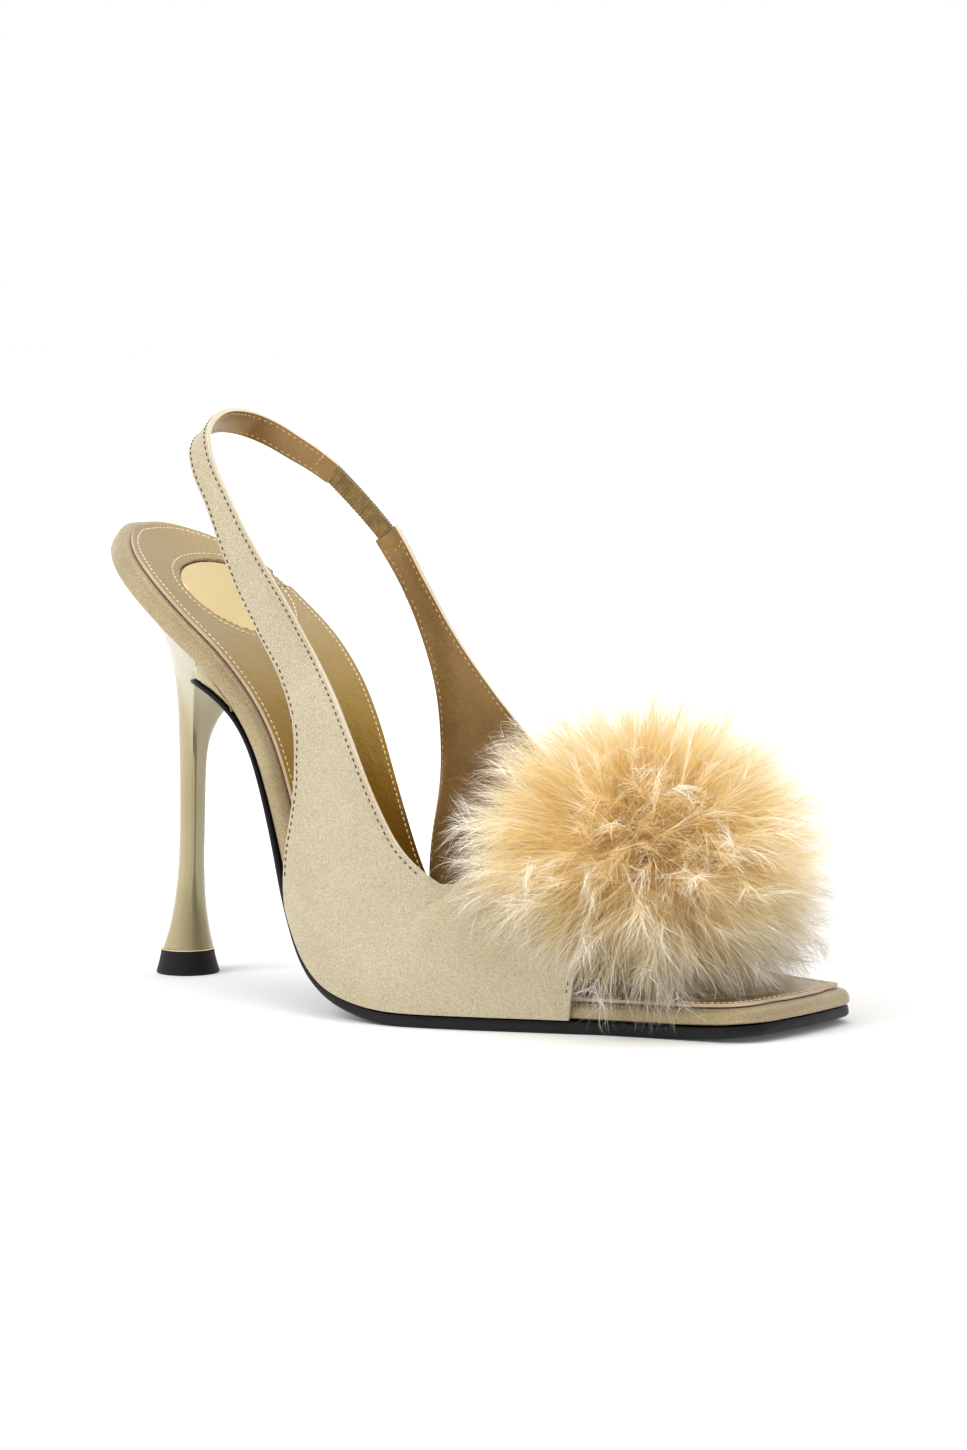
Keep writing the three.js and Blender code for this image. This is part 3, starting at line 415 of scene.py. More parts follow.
# A darker copy of the satin for the board's padded rim: painted shade on the rim.
RIM_SATIN_PAINTED_SHADE = Finish(
    "rim_satin_painted_shade",
    srgb(176, 158, 120),
    srgb(163, 144, 106),
    speckle=0.28,
    speckle_size=0.00045,
    roughness=0.36,
    metallic=0.3,
    sheen=0.2,
    grains=SATIN_GRAINS,
)
LINING = Finish(
    "lining_leather",
    srgb(160, 128, 80),
    srgb(140, 108, 62),
    speckle=0.10,
    speckle_size=0.0008,
    roughness=0.4,
    metallic=0.45,
    grains=(
        Grain(Relief.CELLS, 0.0009, 0.00005),
        Grain(Relief.GRAIN, 0.003, 0.00015),
    ),
)
# The sock's paler heel and toe colours are a painted sheen; its own colour is the golden arch.
SOCK = SheenPaintedSockLeather(
    "sock_leather",
    srgb(172, 134, 46),
    srgb(162, 124, 40),
    heel=srgb(176, 154, 112),
    toe=srgb(178, 150, 104),
    specular=0.25,
    speckle=0.08,
    speckle_size=0.0008,
    roughness=0.32,
    metallic=0.9,
    grains=(
        Grain(Relief.CELLS, 0.0008, 0.00004),
        Grain(Relief.GRAIN, 0.004, 0.00015),
    ),
)
SOCK_CUT = Finish("sock_cut_edge", srgb(206, 180, 152), srgb(190, 162, 134), roughness=0.6)
GOLD = Finish(
    "polished_gold",
    srgb(240, 216, 160),
    srgb(232, 206, 148),
    roughness=0.07,
    roughness_spread=0.02,
    metallic=1.0,
    grains=(Grain(Relief.GRAIN, 0.004, 0.00002),),
)
LACQUER = Finish(
    "pearl_lacquer",
    srgb(178, 166, 126),
    srgb(168, 154, 112),
    drift=0.03,
    roughness=0.3,
    roughness_spread=0.03,
    metallic=0.35,
    coat=0.55,
    coat_roughness=0.04,
    grains=(Grain(Relief.GRAIN, 0.012, 0.00006),),
)
SOLE_LEATHER = Finish(
    "black_sole_leather",
    srgb(18, 17, 19),
    srgb(14, 13, 15),
    roughness=0.42,
    specular=0.3,
    grains=(Grain(Relief.GRAIN, 0.0006, 0.00004), Grain(Relief.GRAIN, 0.004, 0.0001)),
)
RUBBER = Finish(
    "black_rubber",
    srgb(24, 23, 24),
    srgb(20, 19, 20),
    roughness=0.6,
    specular=0.3,
    grains=(Grain(Relief.GRAIN, 0.0005, 0.00003),),
)
ELASTIC_CLOTH = Finish(
    "ribbed_elastic",
    srgb(142, 116, 62),
    srgb(116, 90, 42),
    drift=0.002,
    speckle=0.25,
    roughness=0.7,
    sheen=0.3,
    grains=(Grain(Relief.GRAIN, 0.0004, 0.00006),),
)
# The feathers also glow faintly, a painted glow set in the finish.
PLUME = PlumeFinish(
    "feather",
    (1.0, 1.0, 1.0),
    (1.0, 1.0, 1.0),
    roughness=0.55,
    sheen=0.2,
    specular=0.2,
)


class Thread(Enum):
    """The threads of the seams."""

    DARK = Finish("dark_thread", srgb(70, 52, 34), srgb(54, 40, 26), drift=0.003, roughness=0.7)
    GOLDEN = Finish("golden_thread", srgb(214, 186, 132), srgb(190, 160, 106), drift=0.003, roughness=0.6)
    LIGHT = Finish("light_thread", srgb(244, 232, 204), srgb(226, 210, 178), drift=0.003, roughness=0.6)


def merged_copy(node: str) -> Shape:
    """A copy of a frame solid with its loose triangles joined into whole quads.

    Args:
        node: the solid's name.

    Returns:
        The copy.
    """
    copy = bmesh.new()
    copy.from_mesh(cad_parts[node].data)
    bmesh.ops.remove_doubles(copy, verts=copy.verts, dist=MERGE)
    bmesh.ops.join_triangles(
        copy,
        faces=copy.faces,
        angle_face_threshold=FLAT_BEND,
        angle_shape_threshold=FLAT_SKEW,
    )
    copy.normal_update()
    return copy


def tree_of(node: str) -> BVHTree:
    """A search tree over a frame solid's faces."""
    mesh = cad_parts[node].data
    return BVHTree.FromPolygons([v.co for v in mesh.vertices], [p.vertices for p in mesh.polygons])


def sharp_edges(shape: Shape, angle: float) -> list[bmesh.types.BMEdge]:
    """Edges that bend by more than an angle.

    Args:
        shape: the mesh.
        angle: the angle, in radians.

    Returns:
        The edges.
    """
    return [edge for edge in shape.edges if len(edge.link_faces) == 2 and edge.calc_face_angle(0.0) > angle]


def crease(shape: Shape, angle: float, firmness: float) -> None:
    """Keeps the sharp edges of a mesh firm when it is rounded.

    Args:
        shape: the mesh.
        angle: edges that bend by more than this stay firm.
        firmness: from 0, soft, to 1, sharp.
    """
    layer = shape.edges.layers.float.get("crease_edge") or shape.edges.layers.float.new("crease_edge")
    for edge in sharp_edges(shape, angle):
        edge[layer] = firmness


def rounded(shape: Shape, levels: int) -> Shape:
    """A mesh with its faces subdivided into a smooth surface.

    Args:
        shape: the mesh, which is used up.
        levels: how many times each face is split in four.

    Returns:
        The smooth mesh.
    """
    mesh = bpy.data.meshes.new("rounding")
    shape.to_mesh(mesh)
    shape.free()
    carrier = bpy.data.objects.new("rounding", mesh)
    bpy.context.scene.collection.objects.link(carrier)
    modifier = carrier.modifiers.new("round", "SUBSURF")
    modifier.levels = levels
    modifier.render_levels = levels
    seen = carrier.evaluated_get(bpy.context.evaluated_depsgraph_get())
    smooth = bmesh.new()
    smooth.from_mesh(seen.to_mesh())
    bpy.data.objects.remove(carrier)
    bpy.data.meshes.remove(mesh)
    return smooth


def tree_of_faces(shape: Shape, material: int) -> BVHTree:
    """A search tree over the faces of one material.

    Args:
        shape: the mesh.
        material: the material's number.

    Returns:
        The tree.
    """
    shape.verts.ensure_lookup_table()
    faces = [[v.index for v in face.verts] for face in shape.faces if face.material_index == material]
    return BVHTree.FromPolygons([v.co for v in shape.verts], faces)


def piece_of(
    shape: Shape,
    name: str,
    finishes: list[Finish],
    slot: str,
    replaces: bool = True,
    sharp: float = math.radians(40),
) -> bpy.types.Object:
    """Makes a piece of a mesh, dresses it and hangs it on the shoe.

    Args:
        shape: the mesh, which is used up.
        name: the piece's name.
        finishes: its finishes, in the order of its material numbers.
        slot: the frame solid's name, which is hidden if the piece replaces it.
        replaces: whether the piece stands for the frame solid.
        sharp: edges that bend by more than this are shaded sharp.

    Returns:
        The piece.
    """
    for face in shape.faces:
        face.smooth = True
    hard = set(sharp_edges(shape, sharp))
    for edge in shape.edges:
        edge.smooth = edge not in hard
    mesh = bpy.data.meshes.new(name)
    shape.to_mesh(mesh)
    shape.free()
    return hang(mesh, name, finishes, slot, replaces)


def hang(
    mesh: bpy.types.Mesh, name: str, finishes: list[Finish], slot: str, replaces: bool
) -> bpy.types.Object:
    """Puts a finished mesh in the scene and hangs it on the shoe.

    Args:
        mesh: the mesh.
        name: the piece's name.
        finishes: its finishes, in the order of its material numbers.
        slot: the frame solid's name, which is hidden if the piece replaces it.
        replaces: whether the piece stands for the frame solid.

    Returns:
        The piece.
    """
    for finish in finishes:
        mesh.materials.append(finish.material())
    piece = bpy.data.objects.new(name, mesh)
    bpy.context.scene.collection.objects.link(piece)
    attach(piece, BODY)
    if replaces:
        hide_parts(slot)
    LOG.info("%s: %d faces", name, len(mesh.polygons))
    return piece


def joined_mesh(name: str, places: np.ndarray, corners: np.ndarray) -> bpy.types.Mesh:
    """One mesh from arrays of many small shapes.

    Args:
        name: the mesh's name.
        places: the places of the vertices, N by 3.
        corners: the vertex numbers of each face, M by the corners of one face.

    Returns:
        The mesh.
    """
    mesh = bpy.data.meshes.new(name)
    count, sides = corners.shape
    mesh.vertices.add(len(places))
    mesh.vertices.foreach_set("co", places.astype(np.float32).ravel())
    mesh.loops.add(count * sides)
    mesh.loops.foreach_set("vertex_index", corners.astype(np.int32).ravel())
    mesh.polygons.add(count)
    mesh.polygons.foreach_set("loop_start", np.arange(count, dtype=np.int32) * sides)
    mesh.polygons.foreach_set("use_smooth", np.ones(count, dtype=bool))
    mesh.update(calc_edges=True)
    return mesh


@dataclass
class Seam:
    """A row of stitches laid on a surface.

    Args:
        length: length of one stitch.
        width: width of one stitch.
        height: how far a stitch stands up.
        pitch: distance from one stitch to the next.
        rounding: how much of a stitch's width its corners lose.
        spots: where the stitches lie.
    """

    length: float = 0.85 * MM
    width: float = 0.28 * MM
    height: float = 0.22 * MM
    pitch: float = 1.75 * MM
    rounding: float = 0.32
    spots: list[Matrix] = field(default_factory=list)

    def stitch(self) -> Shape:
        """One stitch at the origin, lying along X.

        Returns:
            The stitch.
        """
        shape = bmesh.new()
        bmesh.ops.create_cube(shape, size=1.0)
        bmesh.ops.scale(shape, vec=(self.length, self.width, self.height * 2), verts=shape.verts)
        bmesh.ops.bevel(
            shape,
            geom=list(shape.edges),
            offset=self.width * self.rounding,
            offset_type="OFFSET",
            affect="EDGES",
            segments=1,
            profile=0.5,
            material=-1,
        )
        bmesh.ops.triangulate(shape, faces=shape.faces)
        return shape

    def lay(self, place: Vector, along: Vector, up: Vector) -> None:
        """Adds a stitch.

        Args:
            place: its middle.
            along: its direction.
            up: the surface's direction there.
        """
        side = up.cross(along).normalized()
        ahead = side.cross(up).normalized()
        turn = Matrix((ahead, side, up.normalized())).transposed().to_4x4()
        self.spots.append(Matrix.Translation(place) @ turn)

    def sew(self, name: str, thread: Thread, slot: str) -> None:
        """Makes one piece of all the stitches.

        Args:
            name: the piece's name.
            thread: the thread.
            slot: the name of the frame solid that it is sewn on; not used, as the stitches hide nothing.
        """
        shape = self.stitch()
        shape.verts.ensure_lookup_table()
        one = np.array([(*v.co, 1.0) for v in shape.verts])
        faces = np.array([[v.index for v in face.verts] for face in shape.faces])
        shape.free()
        turns = np.array([[list(row) for row in spot] for spot in self.spots])
        places = np.einsum("nij,vj->nvi", turns, one)[..., :3].reshape(-1, 3)
        offsets = np.arange(len(self.spots))[:, None, None] * len(one)
        corners = (faces[None] + offsets).reshape(-1, 3)
        hang(joined_mesh(name, places, corners), name, [thread.value], slot, False)


def resampled(points: list[Vector], pitch: float) -> tuple[list[Vector], list[Vector]]:
    """Even places and directions along a line of points that runs back to its start.

    Args:
        points: the line.
        pitch: the distance between places.

    Returns:
        The places, and the direction at each.
    """
    line = np.array(points + [points[0]])
    steps = np.linalg.norm(np.diff(line, axis=0), axis=1)
    reach = np.concatenate([[0.0], np.cumsum(steps)])
    count = max(int(round(reach[-1] / pitch)), 2)
    at = np.linspace(0, reach[-1], count, endpoint=False)
    places = np.stack([np.interp(at, reach, line[:, k]) for k in range(3)], axis=1)
    for _ in range(2):
        places = (np.roll(places, 1, 0) + 2 * places + np.roll(places, -1, 0)) / 4
    ahead = np.roll(places, -1, 0) - np.roll(places, 1, 0)
    return [Vector(p) for p in places], [Vector(a).normalized() for a in ahead]


def unit(ways: np.ndarray) -> np.ndarray:
    """Directions brought to a length of one."""
    return ways / np.linalg.norm(ways, axis=-1, keepdims=True)


def chained(edges: list[bmesh.types.BMEdge]) -> list[bmesh.types.BMVert]:
    """The vertices of a closed ring of edges, in order.

    Args:
        edges: the edges.

    Returns:
        The vertices of the longest ring.
    """
    left = dict.fromkeys(edges)
    best: list[bmesh.types.BMVert] = []
    while left:
        edge, _ = left.popitem()
        ring = [edge.verts[0], edge.verts[1]]
        while True:
            follow = next((e for e in ring[-1].link_edges if e in left), None)
            if follow is None:
                break
            del left[follow]
            ring.append(follow.other_vert(ring[-1]))
        if ring[0] is ring[-1]:
            ring.pop()
        if len(ring) > len(best):
            best = ring
    return best


class Face(Enum):
    """The three faces of the upper's wall, as material numbers."""

    OUTER = 0
    EDGE = 1
    INNER = 2


@dataclass(frozen=True)
class Trough:
    """One soft trough in the satin.

    Args:
        middle: its middle.
        along: its direction.
        width: half its width.
        depth: its depth in the middle.
        length: half its length.
    """

    middle: Vector
    along: Vector
    width: float
    depth: float
    length: float = 0.018

    def depth_at(self, place: Vector) -> float:
        """How deep the trough is at a place."""
        line = self.along.normalized()
        offset = place - self.middle
        run = offset.dot(line)
        aside = (offset - line * run).length
        return self.depth * math.exp(-((aside / self.width) ** 2) - (run / self.length) ** 2)


TROUGHS = (
    Trough(Vector((0.092, -0.040, 0.030)), Vector((0.4, 0.0, 1.0)), 7.0 * MM, 0.35 * MM),
    Trough(Vector((0.080, -0.040, 0.040)), Vector((0.6, 0.0, 1.0)), 6.0 * MM, 0.3 * MM),
    Trough(Vector((0.105, -0.038, 0.022)), Vector((0.2, 0.0, 1.0)), 8.0 * MM, 0.3 * MM),
    Trough(Vector((0.088, 0.030, 0.040)), Vector((0.5, 0.0, 1.0)), 7.0 * MM, 0.3 * MM),
)


@dataclass
class Upper:
    """Vamp, quarters and heel strap: satin outside, metallic leather inside, stitched near every edge.

    Args:
        bend: corners of the rim that bend by more than this are rounded like its edges.
        skin: how far inside the wall the search for its other face starts.
        thickest: a wall thicker than this is seen at its rim.
        deepest: how far the search for the other face goes.
        ankle: outer and inner faces are told apart as seen from the foot, from here on forward.
        instep: from here on they are seen from lower down.
        arch: how much lower.
        fold: width of the folded edge.
        levels: how often the faces are split.
        margin: distance of a seam from the edge.
        foot_clearance: how far from the board a seam ends.
        end_clearance: how far from the elastic a seam ends.
        throat: the throat's lowest point, where the edge is too uneven for a seam.
        throat_clearance: how far around it no stitch is laid.
        feather_clearance: how far around the middle of the feathers no stitch is laid.
        end_row: distance of the strap's cross row from its end.
        end_row_stitches: stitches in the cross row.
        end_row_pitch: their distance, as a share of the seam's.
        inner_height: how far a stitch of the lining stands up.
    """

    bend: float = math.radians(45)
    skin: float = 0.45 * MM
    thickest: float = 1.9 * MM
    deepest: float = 6.0 * MM
    ankle: float = 0.05
    instep: float = 0.09
    arch: float = 0.02
    fold: float = 0.32 * MM
    levels: int = 2
    margin: float = 1.15 * MM
    foot_clearance: float = 3.2 * MM
    end_clearance: float = 3.5 * MM
    throat: Vector = field(default_factory=lambda: Vector((0.1035, -0.0325, 0.0285)))
    throat_clearance: float = 9.5 * MM
    feather_clearance: float = 37.5 * MM
    end_row: float = 5.0 * MM
    end_row_stitches: int = 3
    end_row_pitch: float = 0.8
    inner_height: float = 0.15 * MM

    def build(self) -> None:
        """Builds the upper and its seams."""
        shape = merged_copy("upper")
        sharp = self._sort_faces(shape)
        rings = {face: self._ring(shape, face) for face in (Face.OUTER, Face.INNER)}
        bmesh.ops.bevel(
            shape,
            geom=sharp,
            offset=self.fold,
            offset_type="OFFSET",
            affect="EDGES",
            segments=2,
            profile=0.5,
            material=-1,
            clamp_overlap=True,
        )
        smooth = rounded(shape, self.levels)
        self._crease_satin(smooth)
        for face, thread in ((Face.OUTER, Thread.DARK), (Face.INNER, Thread.GOLDEN)):
            seam = Seam() if face is Face.OUTER else Seam(height=self.inner_height)
            surface = tree_of_faces(smooth, face.value)
            self._follow_edge(seam, rings[face], surface)
            self._close_strap(seam, surface)
            seam.sew(f"upper_seam_{face.name.lower()}", thread, "upper")
        # The edge faces take the lighter satin, a painted highlight.
        piece_of(smooth, "upper_satin", [SATIN, SATIN_EDGE_PAINTED_HIGHLIGHT, LINING], "upper", sharp=math.radians(60))

    def _sort_faces(self, shape: Shape) -> list[bmesh.types.BMEdge]:
        """Numbers the faces of the wall by the side that they are on.

        Args:
            shape: the upper.

        Returns:
            The edges between the sides, and the corners of the rim.
        """
        whole = BVHTree.FromBMesh(shape)
        for face in shape.faces:
            middle = face.calc_center_median()
            depth = whole.ray_cast(middle - face.normal * self.skin, -face.normal, self.deepest)[3]
            ankle = Vector((max(middle.x, self.ankle), 0.0, middle.z))
            if middle.x > self.instep:
                ankle.z -= self.arch
            side = Face.OUTER if face.normal.dot(middle - ankle) > 0 else Face.INNER
            if depth is None or depth > self.thickest:
                side = Face.EDGE
            face.material_index = side.value
        between = [e for e in shape.edges if len({f.material_index for f in e.link_faces}) > 1]
        rim = {Face.EDGE.value}
        corners = sharp_edges(shape, self.bend)
        return between + [e for e in corners if {f.material_index for f in e.link_faces} == rim]

    def _ring(self, shape: Shape, side: Face) -> list[tuple[Vector, Vector]]:
        """The edge line of one face of the wall.

        Args:
            shape: the upper.
            side: which face.

        Returns:
            Each place with the direction from the edge into the face.
        """
        own = side.value
        border = [e for e in shape.edges if sum(f.material_index == own for f in e.link_faces) == 1]
        result = []
        for vert in chained(border):
            inner = [f for f in vert.link_faces if f.material_index == own]
            middle = sum((f.calc_center_median() for f in inner), Vector()) / len(inner)
            result.append((vert.co.copy(), (middle - vert.co).normalized()))
        return result

    def _follow_edge(self, seam: Seam, ring: list[tuple[Vector, Vector]], surface: BVHTree) -> None:
        """Lays stitches inside the free edges.

        None are laid along the sole, at the elastic, at the throat's lowest point or under the feathers.

        Args:
            seam: the seam that gets them.
            ring: the edge line.
            surface: the face they lie on.
        """
        board, elastic = tree_of("insole_board"), tree_of("elastic")
        inwards = {tuple(place): inward for place, inward in ring}
        corners = [place for place, _ in ring]
        for place, way in zip(*resampled(corners, seam.pitch)):
            nearest = min(corners, key=lambda corner: (corner - place).length_squared)
            inward = surface.find_nearest(place)[1].cross(way).normalized()
            if inward.dot(inwards[tuple(nearest)]) < 0:
                inward = -inward
            spot, up, _, _ = surface.find_nearest(place + inward * self.margin)
            clear = (
                board.find_nearest(spot)[3] >= self.foot_clearance
                and elastic.find_nearest(spot)[3] >= self.end_clearance
                and (spot - self.throat).length >= self.throat_clearance
                and (spot - FEATHER_CENTRE).length >= self.feather_clearance
            )
            if clear:
                seam.lay(spot, way, up)

    def _close_strap(self, seam: Seam, surface: BVHTree) -> None:
        """Lays a short row of stitches across the strap's end and the quarter's end.

        Args:
            seam: the seam that gets them.
            surface: the face they lie on.
        """
        low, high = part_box("elastic")
        points = [v.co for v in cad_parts["elastic"].data.vertices]
        back = min(points, key=lambda p: p.x - p.z)
        ahead = max(points, key=lambda p: p.x - p.z)
        middle = (low + high) / 2
        run = (ahead - back).normalized()
        for end, way in ((back, -run), (ahead, run)):
            centre = middle + run * (end - middle).dot(run) + way * self.end_row
            spot, up, _, _ = surface.find_nearest(centre)
            across = up.cross(way).normalized()
            for step in range(self.end_row_stitches):
                shift = (step - (self.end_row_stitches - 1) / 2) * seam.pitch * self.end_row_pitch
                place, normal, _, _ = surface.find_nearest(spot + across * shift)
                seam.lay(place, across, normal)

    def _crease_satin(self, smooth: Shape) -> None:
        """Presses a few soft troughs into the satin, where the foot bends the quarters and the vamp.

        Args:
            smooth: the smooth upper.
        """
        for vert in smooth.verts:
            push = sum(trough.depth_at(vert.co) for trough in TROUGHS)
            centre = Vector((vert.co.x, 0.0, vert.co.z))
            vert.co += (centre - vert.co).normalized() * push


@dataclass
class Footbed:
    """Board with its padded rim, sock lining and plaque.

    Args:
        levels: how often the board's faces are split.
        sock_levels: how often the sock's are.
        corner: corners of the board that bend by more than this stay firm.
        firmness: how firm.
        cover: how far above the board the sock is looked for.
        steepest: only faces that look up by more than this carry the sock.
        trim: how much smaller the sock is than the board's top.
        gap: distance of the sock from the board.
        sock: the sock's thickness.
        cut_slope: faces of the sock that look up or down by less than this are its cut edge.
        window_gap: how much wider the window is than the plaque.
        window_reach: border within this share of the window's oval belongs to the window.
        stitch_inset: distance of the seam from the sock's edge.
        waist: place on the middle line that is inside of every place on the sock's edge.
        plaque_ring: distance of the oval seam from the window.
        oval_steps: points on the oval.
        above: height from which the sock is looked for.
        dome: height of the plaque's dome.
        plaque: the plaque's thickness.
        rounds: faces around the plaque.
        rings: faces from its top to its lowest point.
        underside: where the round shape is cut flat.
        lip: share of the plaque's radius that its rounded edge takes.
    """

    levels: int = 2
    sock_levels: int = 3
    corner: float = math.radians(60)
    firmness: float = 0.35
    cover: float = 1.5 * MM
    steepest: float = 0.2
    trim: float = 0.4 * MM
    gap: float = 0.3 * MM
    sock: float = 0.8 * MM
    cut_slope: float = 0.75
    window_gap: float = 0.25 * MM
    window_reach: float = 1.3
    stitch_inset: float = 1.5 * MM
    waist: float = 0.08
    plaque_ring: float = 1.9 * MM
    oval_steps: int = 120
    above: float = 0.02
    dome: float = 0.8 * MM
    plaque: float = 0.5 * MM
    rounds: int = 96
    rings: int = 40
    underside: float = -0.3
    lip: float = 0.07

    def build(self) -> None:
        """Builds the board, the sock lining with its seams, and the plaque."""
        board = merged_copy("insole_board")
        sheet = self._sock_sheet(board)
        crease(board, self.corner, self.firmness)
        # The rim takes the darker satin, painted shade.
        piece_of(rounded(board, self.levels), "board_satin", [RIM_SATIN_PAINTED_SHADE], "insole_board")
        self._build_sock(sheet)
        self._build_plaque()

    def _sock_sheet(self, board: Shape) -> Shape:
        """The part of the board's top that the sock lining covers.

        Args:
            board: the board.

        Returns:
            The sheet, a little smaller than the board's top.
        """
        covers = [tree_of("sock_lining"), tree_of("plaque")]
        sheet = board.copy()
        bare = []
        for face in sheet.faces:
            middle, up = face.calc_center_median(), face.normal
            hits = [cover.ray_cast(middle, up, self.cover)[0] for cover in covers]
            if up.z < self.steepest or not any(hits):
                bare.append(face)
        bmesh.ops.delete(sheet, geom=bare, context="FACES")
        ring = bmesh.ops.inset_region(
            sheet, faces=sheet.faces, thickness=self.trim, use_even_offset=True, use_boundary=True
        )
        bmesh.ops.delete(sheet, geom=ring["faces"], context="FACES")
        return sheet

    def _oval(self, margin: float) -> tuple[Vector, float, float]:
        """The plaque's oval in plan.

        Args:
            margin: how much wider the oval is than the plaque.

        Returns:
            The middle, and the half sizes along and across the shoe.
        """
        low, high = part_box("plaque")
        middle = (low + high) / 2
        return middle, (high.x - low.x) / 2 + margin, (high.y - low.y) / 2 + margin

    def _cut_window(self, sock: Shape) -> BVHTree:
        """Cuts the oval window for the plaque.

        Args:
            sock: the sock, still a sheet.

        Returns:
            A search tree over the sheet, as it is before its border is brought to the oval.
        """
        middle, half_x, half_y = self._oval(self.window_gap)

        def reach(place: Vector) -> float:
            """How far out a place is, as a share of the window's oval."""
            return math.hypot((place.x - middle.x) / half_x, (place.y - middle.y) / half_y)

        gone = [face for face in sock.faces if reach(face.calc_center_median()) < 1.0]
        bmesh.ops.delete(sock, geom=gone, context="FACES")
        border = {v for e in sock.edges if e.is_boundary for v in e.verts}
        surface = tree_of_faces(sock, 0)
        for vert in border:
            if reach(vert.co) < self.window_reach:
                share = 1.0 / reach(vert.co)
                vert.co.x = middle.x + (vert.co.x - middle.x) * share
                vert.co.y = middle.y + (vert.co.y - middle.y) * share
                vert.co.z = surface.find_nearest(vert.co)[0].z
        return surface

    def _follow_edge(self, seam: Seam, edge_line: list[Vector], surface: BVHTree) -> None:
        """Lays stitches inside the sock's edge.

        Args:
            seam: the seam that gets them.
            edge_line: the edge.
            surface: the sock's top.
        """
        for place, way in zip(*resampled(edge_line, seam.pitch)):
            inward = surface.find_nearest(place)[1].cross(way).normalized()
            if inward.dot(Vector((self.waist, 0.0, place.z)) - place) < 0:
                inward = -inward
            spot, up, _, _ = surface.find_nearest(place + inward * self.stitch_inset)
            seam.lay(spot, way, up)

    def _ring_plaque(self, seam: Seam, surface: BVHTree) -> None:
        """Lays stitches round the plaque.

        Args:
            seam: the seam that gets them.
            surface: the sock's top.
        """
        middle, half_x, half_y = self._oval(self.window_gap + self.plaque_ring)
        oval = []
        for angle in np.arange(self.oval_steps) * 2 * math.pi / self.oval_steps:
            x, y = middle.x + half_x * math.cos(angle), middle.y + half_y * math.sin(angle)
            hit = surface.ray_cast(Vector((x, y, middle.z + self.above)), DOWN)[0]
            if hit:
                oval.append(hit)
        for place, way in zip(*resampled(oval, seam.pitch)):
            spot, up, _, _ = surface.find_nearest(place)
            seam.lay(spot, way, up)

    def _build_sock(self, sheet: Shape) -> None:
        """Builds the sock lining with its oval window and its two rows of stitches.

        Args:
            sheet: the sheet it is cut from.
        """
        sock = rounded(sheet, self.sock_levels)
        sock.normal_update()
        for vert in sock.verts:
            vert.co += vert.normal * (self.gap + self.sock)
        edge_line = [vert.co.copy() for vert in chained([e for e in sock.edges if e.is_boundary])]
        surface = self._cut_window(sock)
        seam = Seam(length=1.0 * MM, width=0.36 * MM, height=0.16 * MM, pitch=1.6 * MM)
        self._follow_edge(seam, edge_line, surface)
        self._ring_plaque(seam, surface)
        seam.sew("sock_seam", Thread.LIGHT, "sock_lining")
        top = set(sock.faces)
        bmesh.ops.solidify(sock, geom=sock.faces, thickness=self.sock)
        for face in sock.faces:
            if face not in top and abs(face.normal.z) < self.cut_slope and len(face.verts) == 4:
                face.material_index = 1
        piece_of(sock, "sock_leather", [SOCK, SOCK_CUT], "sock_lining", sharp=math.radians(50))

    def _build_plaque(self) -> None:
        """Builds the plaque: a low polished dome that follows the seat."""
        middle, half_x, half_y = self._oval(0.0)
        points = np.array([v.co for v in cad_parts["plaque"].data.vertices])
        x, y = points[:, 0] - middle.x, points[:, 1] - middle.y
        terms = np.stack([np.ones_like(x), x, y, x * x, y * y, x * y], axis=1)
        seat = np.linalg.lstsq(terms, points[:, 2], rcond=None)[0]
        shape = bmesh.new()
        bmesh.ops.create_uvsphere(shape, u_segments=self.rounds, v_segments=self.rings, radius=1.0)
        bmesh.ops.bisect_plane(
            shape,
            geom=list(shape.verts) + list(shape.edges) + list(shape.faces),
            plane_co=(0, 0, self.underside),
            plane_no=(0, 0, -1),
            clear_outer=True,
        )
        bmesh.ops.holes_fill(shape, edges=[e for e in shape.edges if e.is_boundary])
        for vert in shape.verts:
            out = min(math.hypot(vert.co.x, vert.co.y), 1.0)
            plan_x, plan_y = vert.co.x * half_x, vert.co.y * half_y
            rise = self.plaque * 0.5 + self.dome * (1 - out**2) if vert.co.z > 0 else -self.plaque * 0.5
            edge = 1 - max(out - (1 - self.lip), 0.0) / self.lip
            rounding = math.sqrt(max(1 - (1 - edge) ** 2, 0.0))
            height = rise * rounding if vert.co.z > 0 else rise
            base = np.dot(seat, [1, plan_x, plan_y, plan_x**2, plan_y**2, plan_x * plan_y])
            vert.co = Vector((middle.x + plan_x, middle.y + plan_y, base + height))
        bmesh.ops.recalc_face_normals(shape, faces=shape.faces)
        piece_of(shape, "plaque_gold", [GOLD], "plaque", sharp=math.radians(70))


